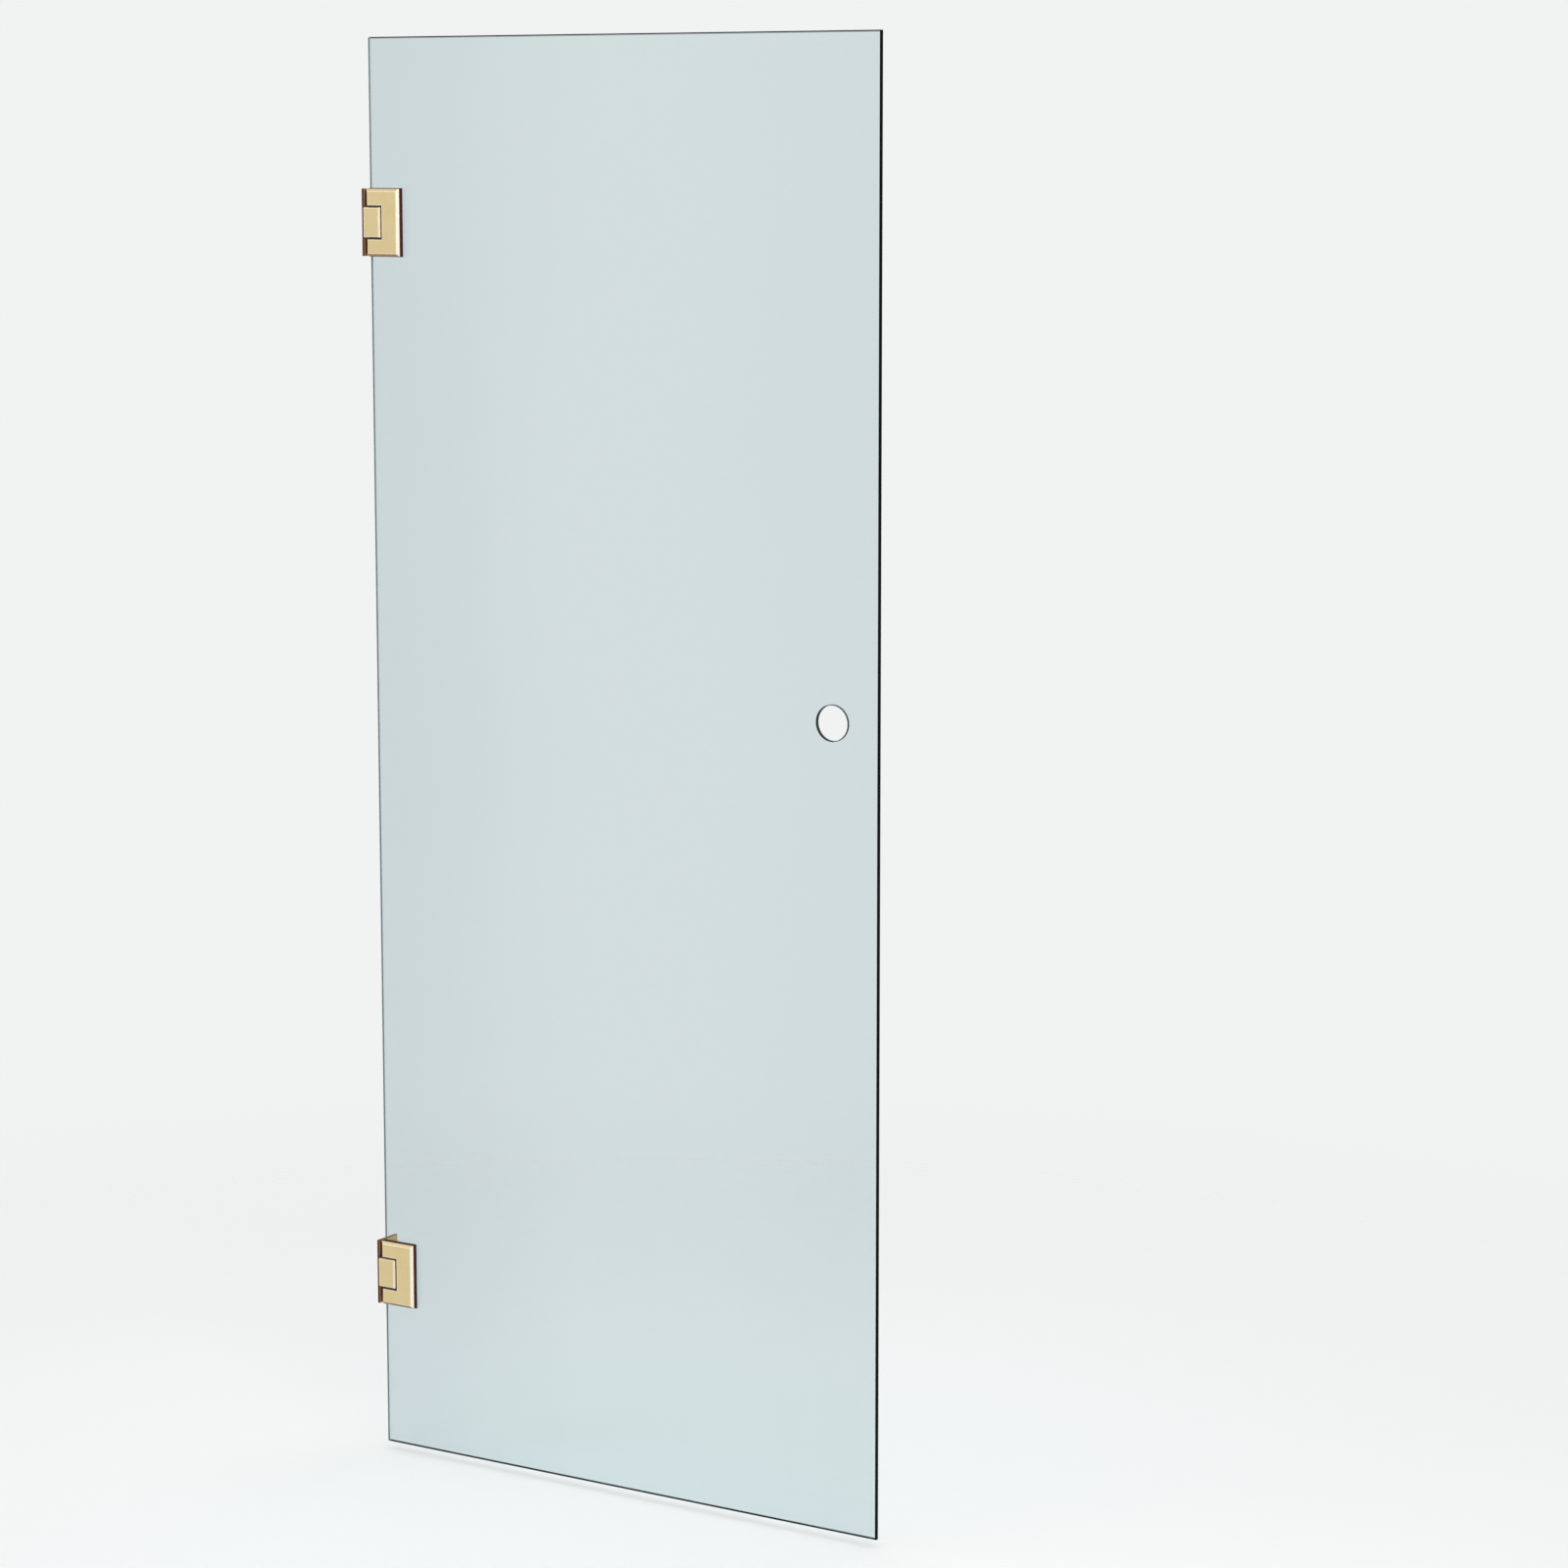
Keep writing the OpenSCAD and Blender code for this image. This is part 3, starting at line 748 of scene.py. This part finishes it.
@dataclass(frozen=True)
class PolymerFinish:
    """A moulded or cut polymer with a fine skin texture and edges scuffed pale."""

    name: str
    colour: Colour
    dusty: Colour
    scuffed: Colour
    roughness: float
    texture_per_metre: float
    texture_depth: float
    specular: float = 0.4
    scuffed_share: float = 0.5

    def material(self, effects: SharedEffects) -> bpy.types.Material:
        """Builds the polymer.

        Args:
            effects: The shared effects.

        Returns:
            The material.
        """
        material, graph = new_material(self.name)
        base = graph.effect(
            effects.mottle,
            {"Colour": self.colour, "Other": self.dusty, "Scale": 70.0, "Amount": 0.5},
        )["Colour"]
        wear = graph.effect(effects.wear, {"Radius": 0.25 * MM, "Patchiness": 0.7})["Wear"]
        skin = graph.effect(
            effects.grain,
            {"Stretch": (1.0, 1.0, 1.0), "Lines per metre": self.texture_per_metre},
        )
        smear = graph.effect(effects.handling, {"Scale": 80.0, "Amount": 0.2})["Smear"]
        scuffed = graph.math("MULTIPLY", wear, self.scuffed_share)
        polymer = graph.add(
            "ShaderNodeBsdfPrincipled",
            {
                "Base Color": graph.blend(scuffed, base, self.scuffed),
                "Roughness": graph.math("SUBTRACT", self.roughness, smear),
                "Specular IOR Level": self.specular,
                "Normal": graph.bump(skin["Height"], strength=0.35, depth=self.texture_depth),
            },
        )
        graph.cover(polymer)
        return material


# The bevel colours of each brass are painted light: a bright painted highlight on the clamps, a
# dimmer one on the block and painted shade on the wall plate.
CLAMP_BRASS = BrassFinish()
BLOCK_BRASS = BrassFinish(name="block_brass", bevel=(0.900, 0.690, 0.430))
PLATE_BRASS = BrassFinish(
    name="deep_gold_brass",
    axis=FaceAxis.OFF_WALL,
    face=(0.660, 0.400, 0.155),
    face_warmer=(0.600, 0.350, 0.125),
    bevel=(0.400, 0.215, 0.100),
    upper_bevel_reflection=(0.340, 0.185, 0.085),
    side=(0.085, 0.024, 0.015),
    side_shade_lighter=(0.130, 0.040, 0.024),
    rubbed=(0.640, 0.410, 0.200),
    metallic=0.85,
    edge_width=0.6 * MM,
)
SCREW_STEEL = TurnedMetalFinish(
    name="screw_steel",
    colour=(0.60, 0.61, 0.63),
    duller=(0.47, 0.48, 0.50),
    rubbed=(0.82, 0.83, 0.84),
    roughness=0.27,
    stretch=(1.0, 1.0, 1.0),
    lines_per_metre=5200.0,
)
PIN_STEEL = TurnedMetalFinish(
    name="ground_pin_steel",
    colour=(0.62, 0.63, 0.64),
    duller=(0.50, 0.50, 0.51),
    rubbed=(0.86, 0.86, 0.86),
    roughness=0.20,
    stretch=(0.04, 0.04, 1.0),
    lines_per_metre=4200.0,
)
SPRING_WIRE = TurnedMetalFinish(
    name="drawn_spring_wire",
    colour=(0.42, 0.43, 0.45),
    duller=(0.30, 0.31, 0.33),
    rubbed=(0.66, 0.67, 0.68),
    roughness=0.33,
    stretch=(1.0, 0.3, 0.3),
    lines_per_metre=6000.0,
)
BUSH_NYLON = PolymerFinish(
    name="black_nylon",
    colour=(0.014, 0.014, 0.015),
    dusty=(0.026, 0.026, 0.028),
    scuffed=(0.07, 0.07, 0.072),
    roughness=0.46,
    texture_per_metre=2600.0,
    texture_depth=0.03 * MM,
)
GASKET_SHEET = PolymerFinish(
    name="grey_gasket_sheet",
    colour=(0.068, 0.050, 0.046),
    dusty=(0.098, 0.078, 0.072),
    scuffed=(0.17, 0.15, 0.14),
    roughness=0.72,
    texture_per_metre=1500.0,
    texture_depth=0.06 * MM,
    specular=0.25,
)


class FinishRack:
    """Every finish of the door, made once."""

    def __init__(self) -> None:
        """Builds the shared effects and the materials."""
        effects = SharedEffects()
        self.pane = PaneFinish().material(effects)
        self.clamp_brass = CLAMP_BRASS.material(effects)
        self.block_brass = BLOCK_BRASS.material(effects)
        self.plate_brass = PLATE_BRASS.material(effects)
        self.screw = SCREW_STEEL.material(effects)
        self.pin = PIN_STEEL.material(effects)
        self.spring = SPRING_WIRE.material(effects)
        self.nylon = BUSH_NYLON.material(effects)
        self.gasket = GASKET_SHEET.material(effects)


def dress_node(name: str, material: bpy.types.Material) -> bpy.types.Object:
    """Gives a solid of the frame its finish.

    Args:
        name: The solid's name.
        material: The finish.

    Returns:
        The solid's object.
    """
    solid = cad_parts[name]
    for slot in solid.material_slots:
        slot.material = material
    LOG.info("dressed %s with %s", name, material.name)
    return solid


@dataclass(frozen=True)
class EdgeSoftening:
    """Rounds the sharp edges of a solid of the frame a little, by modifiers alone."""

    radius: float = 0.4 * MM
    segments: int = 2
    join_reach: float = 0.002 * MM
    flat_angle: float = 0.4
    sharp_angle: float = 28.0
    normal_weight: int = 80

    def apply(self, solid: bpy.types.Object) -> None:
        """Adds the modifiers.

        Args:
            solid: The solid's object.
        """
        weld = solid.modifiers.new("join_facets", "WELD")
        weld.merge_threshold = self.join_reach
        flat = solid.modifiers.new("merge_flat_faces", "DECIMATE")
        flat.decimate_type = "DISSOLVE"
        flat.angle_limit = math.radians(self.flat_angle)
        edges = solid.modifiers.new("soft_edges", "BEVEL")
        edges.width = self.radius
        edges.segments = self.segments
        edges.limit_method = "ANGLE"
        edges.angle_limit = math.radians(self.sharp_angle)
        edges.harden_normals = False
        shade = solid.modifiers.new("even_shading", "WEIGHTED_NORMAL")
        shade.keep_sharp = False
        shade.weight = self.normal_weight


def smooth_steps(count: int) -> list[float]:
    """Lists the angles, in radians, of an even ring with this number of steps."""
    return [math.tau * step / count for step in range(count)]


def clamp(value: float) -> float:
    """Keeps a number between nothing and one."""
    return min(max(value, 0.0), 1.0)


@dataclass(frozen=True)
class HexSocketScrew:
    """A threaded screw with a hex socket, whose axis is local Z and whose top is at zero.

    The depth and the lead-in of the thread are shares of its pitch.
    """

    diameter: float
    pitch: float
    length: float
    socket: float
    socket_depth: float
    head: float = 0.0
    tip_chamfer: float = 0.4 * MM
    corner: float = 0.12 * MM
    socket_sides: int = 6
    thread_depth: float = 0.58
    lead_in: float = 0.3
    steepness: float = 1.35
    crest: float = 0.15
    sides: int = 36
    steps_per_pitch: int = 6
    crease: float = 32.0

    def _socket_radius(self, angle: float) -> float:
        """Gives the distance from the axis to the wall of the hex socket at an angle."""
        sector = math.tau / self.socket_sides
        return 0.5 * self.socket / math.cos((angle % sector) - 0.5 * sector)

    def _thread_radius(self, angle: float, z: float, start: float, end: float) -> float:
        """Gives the radius of the thread.

        Args:
            angle: The angle round the axis.
            z: The height on the axis.
            start: The height at which the thread starts, below the head.
            end: The height at which it ends, above the tip's chamfer.

        Returns:
            The distance from the axis.
        """
        turn = (z / self.pitch + angle / math.tau) % 1.0
        groove = clamp(self.steepness * (1.0 - abs(2.0 * turn - 1.0)) - self.crest)
        run_out = clamp((start - z) / self.pitch)
        lead_in = clamp((z - end) / (self.lead_in * self.pitch))
        return 0.5 * self.diameter - self.thread_depth * self.pitch * groove * run_out * lead_in

    def rings(self) -> list[Ring]:
        """Lists the rings of points from the socket's floor to the tip.

        Returns:
            The rings, each with the same number of points.
        """
        angles = smooth_steps(self.sides)
        radius = 0.5 * self.diameter
        top = 0.5 * self.head if self.head else radius
        mouth = 0.5 * self.socket / math.cos(math.pi / self.socket_sides) + self.corner
        stack: list[tuple[float, Callable[[float], float]]] = [
            (-self.socket_depth, self._socket_radius),
            (-2.0 * self.corner, self._socket_radius),
            (0.0, lambda _angle: mouth),
            (0.0, lambda _angle: top - self.corner),
            (-self.corner, lambda _angle: top),
        ]
        start = -self.corner
        if self.head:
            start = -(top - radius)
            stack.append((start, lambda _angle: radius))
        end = -(self.length - self.tip_chamfer)
        count = max(2, round((start - end) / self.pitch * self.steps_per_pitch))
        for step in range(1, count + 1):
            z = start + (end - start) * step / count
            stack.append((z, lambda angle, z=z: self._thread_radius(angle, z, start, end)))
        stack.append((-self.length, lambda _angle: radius - self.tip_chamfer))
        return [
            [Vector((reach(a) * math.cos(a), reach(a) * math.sin(a), z)) for a in angles]
            for z, reach in stack
        ]


def join_rings(mesh: bmesh.types.BMesh, rings: Iterable[Ring]) -> list[list[bmesh.types.BMVert]]:
    """Adds a skin of four-sided faces through a stack of rings.

    Args:
        mesh: The mesh that it goes into.
        rings: The rings of points, in order.

    Returns:
        The rings of new points.
    """
    rows = [[mesh.verts.new(point) for point in ring] for ring in rings]
    for row, following in zip(rows, rows[1:]):
        for i in range(len(row)):
            j = (i + 1) % len(row)
            mesh.faces.new((row[i], row[j], following[j], following[i]))
    return rows


def close_ring(mesh: bmesh.types.BMesh, row: list[bmesh.types.BMVert], middle: Vector) -> None:
    """Closes a ring with a fan round a middle point.

    Args:
        mesh: The mesh that the ring is in.
        row: The ring.
        middle: The place of the middle point.
    """
    hub = mesh.verts.new(middle)
    for i in range(len(row)):
        mesh.faces.new((row[i], row[(i + 1) % len(row)], hub))


def add_lathe(mesh: bmesh.types.BMesh, rings: Iterable[Ring], place: Matrix) -> None:
    """Adds a closed skin through a stack of rings, with a fan at each end.

    Args:
        mesh: The mesh that it goes into.
        rings: The rings of points, in order.
        place: Where the skin goes.
    """
    rows = join_rings(mesh, [[place @ point for point in ring] for ring in rings])
    for row in (rows[0], rows[-1]):
        close_ring(mesh, row, sum((v.co for v in row), Vector()) / len(row))


def finish_mesh(name: str, mesh: bmesh.types.BMesh, crease: float) -> bpy.types.Object:
    """Turns a finished mesh into an object of the scene.

    Args:
        name: The piece's name.
        mesh: Its mesh, which is freed.
        crease: The angle in degrees above which edges stay sharp.

    Returns:
        The object.
    """
    bmesh.ops.recalc_face_normals(mesh, faces=mesh.faces)
    for face in mesh.faces:
        face.smooth = True
    limit = math.radians(crease)
    for edge in mesh.edges:
        edge.smooth = len(edge.link_faces) != 2 or edge.calc_face_angle() < limit
    data = bpy.data.meshes.new(name)
    mesh.to_mesh(data)
    mesh.free()
    piece = bpy.data.objects.new(name, data)
    bpy.context.scene.collection.objects.link(piece)
    return piece


def screw_piece(name: str, screw: HexSocketScrew, places: Iterable[Matrix]) -> bpy.types.Object:
    """Makes one piece of several equal screws.

    Args:
        name: The piece's name.
        screw: The screw.
        places: Where each one goes.

    Returns:
        The piece.
    """
    mesh = bmesh.new()
    for place in places:
        add_lathe(mesh, screw.rings(), place)
    return finish_mesh(name, mesh, screw.crease)


@dataclass(frozen=True)
class CoilSpring:
    """A round wire spring along X."""

    wire: float = 0.9 * MM
    outside: float = 6.5 * MM
    start_x: float = 4.3 * MM
    end_x: float = 11.65 * MM
    turns: float = 4.5
    steps_per_turn: int = 32
    sides: int = 12
    crease: float = 60.0

    def rings(self) -> list[Ring]:
        """Lists the rings of points round the wire, from one end to the other.

        Returns:
            The rings.
        """
        mean = 0.5 * (self.outside - self.wire)
        rise = (self.end_x - self.start_x - self.wire) / (math.tau * self.turns)
        count = round(self.turns * self.steps_per_turn)
        length = math.hypot(mean, rise)
        result = []
        for step in range(count + 1):
            a = math.tau * self.turns * step / count
            out = Vector((0.0, math.cos(a), math.sin(a)))
            across = Vector((-mean, -rise * math.sin(a), rise * math.cos(a))) / length
            centre = Vector((self.start_x + 0.5 * self.wire + rise * a, 0.0, 0.0)) + mean * out
            result.append([
                centre + 0.5 * self.wire * (math.cos(b) * out + math.sin(b) * across)
                for b in smooth_steps(self.sides)
            ])
        return result


@dataclass(frozen=True)
class GlassPanel:
    """The pane with its finger hole."""

    node: str = "glass_panel"

    def dress(self, finishes: FinishRack) -> None:
        """Gives the pane its finish."""
        dress_node(self.node, finishes.pane)


@dataclass(frozen=True)
class Hinge:
    """One hinge: the wall plate and the block on the wall, and the clamps on the glass."""

    prefix: str
    softening: EdgeSoftening = EdgeSoftening()
    clamp_screw: HexSocketScrew = HexSocketScrew(
        diameter=6.0 * MM, pitch=1.0 * MM, length=20.0 * MM,
        socket=3.3 * MM, socket_depth=3.0 * MM, head=12.0 * MM,
    )
    block_screw: HexSocketScrew = HexSocketScrew(
        diameter=5.0 * MM, pitch=0.8 * MM, length=10.0 * MM,
        socket=2.75 * MM, socket_depth=2.5 * MM, head=9.8 * MM,
    )
    set_screw: HexSocketScrew = HexSocketScrew(
        diameter=5.0 * MM, pitch=0.8 * MM, length=6.15 * MM,
        socket=2.5 * MM, socket_depth=2.5 * MM, tip_chamfer=0.5 * MM,
    )
    spring: CoilSpring = CoilSpring()

    def part(self, name: str) -> str:
        """Gives the full name of one of this hinge's solids."""
        return f"{self.prefix}_{name}"

    def height(self) -> float:
        """Gives the height of the middle of the hinge."""
        low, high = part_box(self.part("wall_plate"))
        return 0.5 * (low.z + high.z)

    def _pair(self, name: str, screw: HexSocketScrew, turn: ScrewTurn) -> list[Matrix]:
        """Gives the places of a pair of screws, one above and one below the middle of the hinge.

        Args:
            name: The solid that the pair stands for.
            screw: The screw.
            turn: The turn that brings its top to the way that it looks.

        Returns:
            The two places.
        """
        low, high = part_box(self.part(name))
        middle = 0.5 * (low + high)
        x, y = (low.x, middle.y) if turn is ScrewTurn.TO_WALL else (middle.x, high.y)
        quarter = Matrix.Rotation(-0.5 * math.pi, 4, turn.value)
        offset = 0.5 * (high.z - low.z) - 0.5 * max(screw.head, screw.diameter)
        z = 0.5 * (high.z + low.z)
        return [Matrix.Translation((x, y, z + s * offset)) @ quarter for s in (-1.0, 1.0)]

    def build(self, finishes: FinishRack) -> None:
        """Makes the screws and springs again in full detail.

        Args:
            finishes: The finishes of the door.
        """
        plans = (
            ("clamp_screws", self.clamp_screw, Body.DOOR, ScrewTurn.TO_SHOWER),
            ("pin_set_screws", self.set_screw, Body.DOOR, ScrewTurn.TO_SHOWER),
            ("block_screws", self.block_screw, Body.WALL_MOUNT, ScrewTurn.TO_WALL),
        )
        for name, screw, body, turn in plans:
            places = self._pair(name, screw, turn)
            piece = screw_piece(self.part(f"threaded_{name}"), screw, places)
            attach(piece, body.value)
            self._settle(piece, name, finishes.screw)
        mesh = bmesh.new()
        low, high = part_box(self.part("detent_springs"))
        offset = 0.5 * (high.z - low.z - self.spring.outside)
        for s in (-1.0, 1.0):
            place = Matrix.Translation((0.0, 0.0, self.height() + s * offset))
            add_lathe(mesh, self.spring.rings(), place)
        piece = finish_mesh(self.part("wire_detent_springs"), mesh, self.spring.crease)
        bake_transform(piece)
        self._settle(piece, "detent_springs", finishes.spring)

    def _settle(
        self, piece: bpy.types.Object, node: str, material: bpy.types.Material
    ) -> None:
        """Gives a new piece its finish and hides the solid that it stands for.

        Args:
            piece: The new piece.
            node: The solid's name without the hinge's prefix.
            material: The finish.
        """
        piece.data.materials.append(material)
        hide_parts(self.part(node))
        LOG.info("made %s in place of %s", piece.name, self.part(node))

    def dress(self, finishes: FinishRack) -> None:
        """Gives the hinge's solids their finishes.

        Args:
            finishes: The finishes of the door.
        """
        brass = {
            "wall_plate": finishes.plate_brass,
            "pivot_block": finishes.block_brass,
            "front_clamp": finishes.clamp_brass,
            "rear_clamp": finishes.clamp_brass,
        }
        for name, material in brass.items():
            self.softening.apply(dress_node(self.part(name), material))
        plain = {
            "pivot_pin": finishes.pin,
            "detent_shoe": finishes.screw,
            "pin_bushes": finishes.nylon,
            "front_gasket": finishes.gasket,
            "rear_gasket": finishes.gasket,
        }
        for name, material in plain.items():
            dress_node(self.part(name), material)


@dataclass(frozen=True)
class SoftLamp:
    """A large square area lamp."""

    name: str
    place: Place
    side: float
    watts: float
    aim: Place = DOOR_MIDDLE

    def light(self) -> None:
        """Adds the lamp to the scene."""
        data = bpy.data.lights.new(self.name, "AREA")
        data.shape = "SQUARE"
        data.size = self.side
        data.energy = self.watts
        lamp = bpy.data.objects.new(self.name, data)
        lamp.location = self.place
        way = Vector(self.aim) - Vector(self.place)
        lamp.rotation_euler = way.to_track_quat("-Z", "Y").to_euler()
        lamp.visible_transmission = False
        bpy.context.scene.collection.objects.link(lamp)
        LOG.info("placed %s", self.name)


@dataclass(frozen=True)
class Studio:
    """A pale floor, a near-white surround, soft lamps and the camera."""

    surround: Colour = (0.880, 0.889, 0.889)
    surround_light: float = 0.62
    floor_gap: float = 10.0 * MM
    floor_radius: float = 2.6
    floor_fade: float = 0.6
    floor_rings: int = 24
    floor_sides: int = 96
    floor_crease: float = 30.0
    floor_colour: Colour = (0.862, 0.870, 0.870)
    floor_roughness: Span = (0.68, 0.76)
    floor_shine: float = 0.2
    camera_place: Place = (3.5733, -4.5843, 1.5739)
    camera_tilt: float = 81.273
    camera_turn: float = 32.399
    camera_lens: float = 97.987
    camera_sensor: float = 36.0
    lamps: tuple[SoftLamp, ...] = (
        SoftLamp("key_softbox", place=(3.4, -2.6, 2.7), side=2.2, watts=46.0),
        SoftLamp("overhead_softbox", place=(0.5, -0.2, 3.9), side=2.6, watts=42.0),
        SoftLamp("left_softbox", place=(-2.6, -3.4, 3.9), side=2.2, watts=38.0),
        SoftLamp("rear_softbox", place=(1.0, 2.8, 4.6), side=2.6, watts=30.0),
    )

    def build(self) -> None:
        """Makes the whole studio."""
        self._surround()
        self._floor()
        for lamp in self.lamps:
            lamp.light()
        self._camera()
        bpy.context.scene.view_settings.view_transform = "Standard"

    def _surround(self) -> None:
        """Makes the near-white surround, which lights the door more softly than it looks."""
        world = bpy.data.worlds.new("white_surround")
        bpy.context.scene.world = world
        world.use_nodes = True
        world.node_tree.nodes.clear()
        graph = NodeGraph(world.node_tree)
        path = graph.add("ShaderNodeLightPath").outputs
        seen = graph.math("MAXIMUM", path["Is Camera Ray"], path["Is Glossy Ray"])
        seen = graph.math("MAXIMUM", seen, path["Is Transmission Ray"])
        white = {"Color": (1.0, 1.0, 1.0), "Strength": self.surround_light}
        lit = graph.add("ShaderNodeBackground", white)
        shown = graph.add("ShaderNodeBackground", {"Color": self.surround, "Strength": 1.0})
        mixed = graph.add("ShaderNodeMixShader", {0: seen, 1: lit.outputs[0], 2: shown.outputs[0]})
        graph.cover(mixed, "ShaderNodeOutputWorld")

    def _floor(self) -> None:
        """Makes a round pale floor that fades into the surround."""
        mesh = bmesh.new()
        middle = Vector((DOOR_MIDDLE[0], 0.0, CAD_BOX[0].z - self.floor_gap))
        circle = [Vector((math.cos(a), math.sin(a), 0.0)) for a in smooth_steps(self.floor_sides)]
        counts = range(1, self.floor_rings + 1)
        reaches = [self.floor_radius * count / self.floor_rings for count in counts]
        rings = [[point * reach + middle for point in circle] for reach in reaches]
        close_ring(mesh, join_rings(mesh, rings)[0], middle)
        floor = finish_mesh("pale_floor", mesh, self.floor_crease)
        floor.data.materials.append(self._floor_coat(middle))
        LOG.info("laid the floor")

    def _floor_coat(self, middle: Vector) -> bpy.types.Material:
        """Makes the floor's pale coat, which thins out to nothing at its rim.

        Args:
            middle: The middle of the floor.

        Returns:
            The material.
        """
        material, graph = new_material("pale_floor_coat")
        place = graph.place()
        flat = graph.vector_math("MULTIPLY", place, (1.0, 1.0, 0.0))
        offset = graph.vector_math("SUBTRACT", flat, (middle.x, middle.y, 0.0))
        distance = graph.vector_math("LENGTH", offset)
        fade = graph.ramp(distance, self.floor_fade, self.floor_radius)
        cloud = graph.noise(place, scale=30.0)
        coat = graph.add(
            "ShaderNodeBsdfPrincipled",
            {
                "Base Color": self.floor_colour,
                "Roughness": graph.ramp(cloud, *NOISE_SPAN, *self.floor_roughness),
                "Specular IOR Level": self.floor_shine,
            },
        )
        clear = graph.add("ShaderNodeBsdfTransparent")
        mixed = graph.add("ShaderNodeMixShader", {0: fade, 1: coat.outputs[0], 2: clear.outputs[0]})
        graph.cover(mixed)
        return material

    def _camera(self) -> None:
        """Sets the camera at the photograph's viewing angle."""
        data = bpy.data.cameras.new("studio_camera")
        data.lens = self.camera_lens
        data.sensor_width = self.camera_sensor
        data.dof.use_dof = False
        camera = bpy.data.objects.new("studio_camera", data)
        camera.location = self.camera_place
        tilt, turn = math.radians(self.camera_tilt), math.radians(self.camera_turn)
        camera.rotation_euler = (tilt, 0.0, turn)
        bpy.context.scene.collection.objects.link(camera)
        bpy.context.scene.camera = camera


def main() -> None:
    """Builds and dresses the door, then the studio."""
    logging.basicConfig(level=logging.INFO, format="%(name)s: %(message)s")
    finishes = FinishRack()
    GlassPanel().dress(finishes)
    for prefix in ("lower", "upper"):
        hinge = Hinge(prefix)
        hinge.build(finishes)
        hinge.dress(finishes)
    Studio().build()


if __name__ == "__main__":
    main()
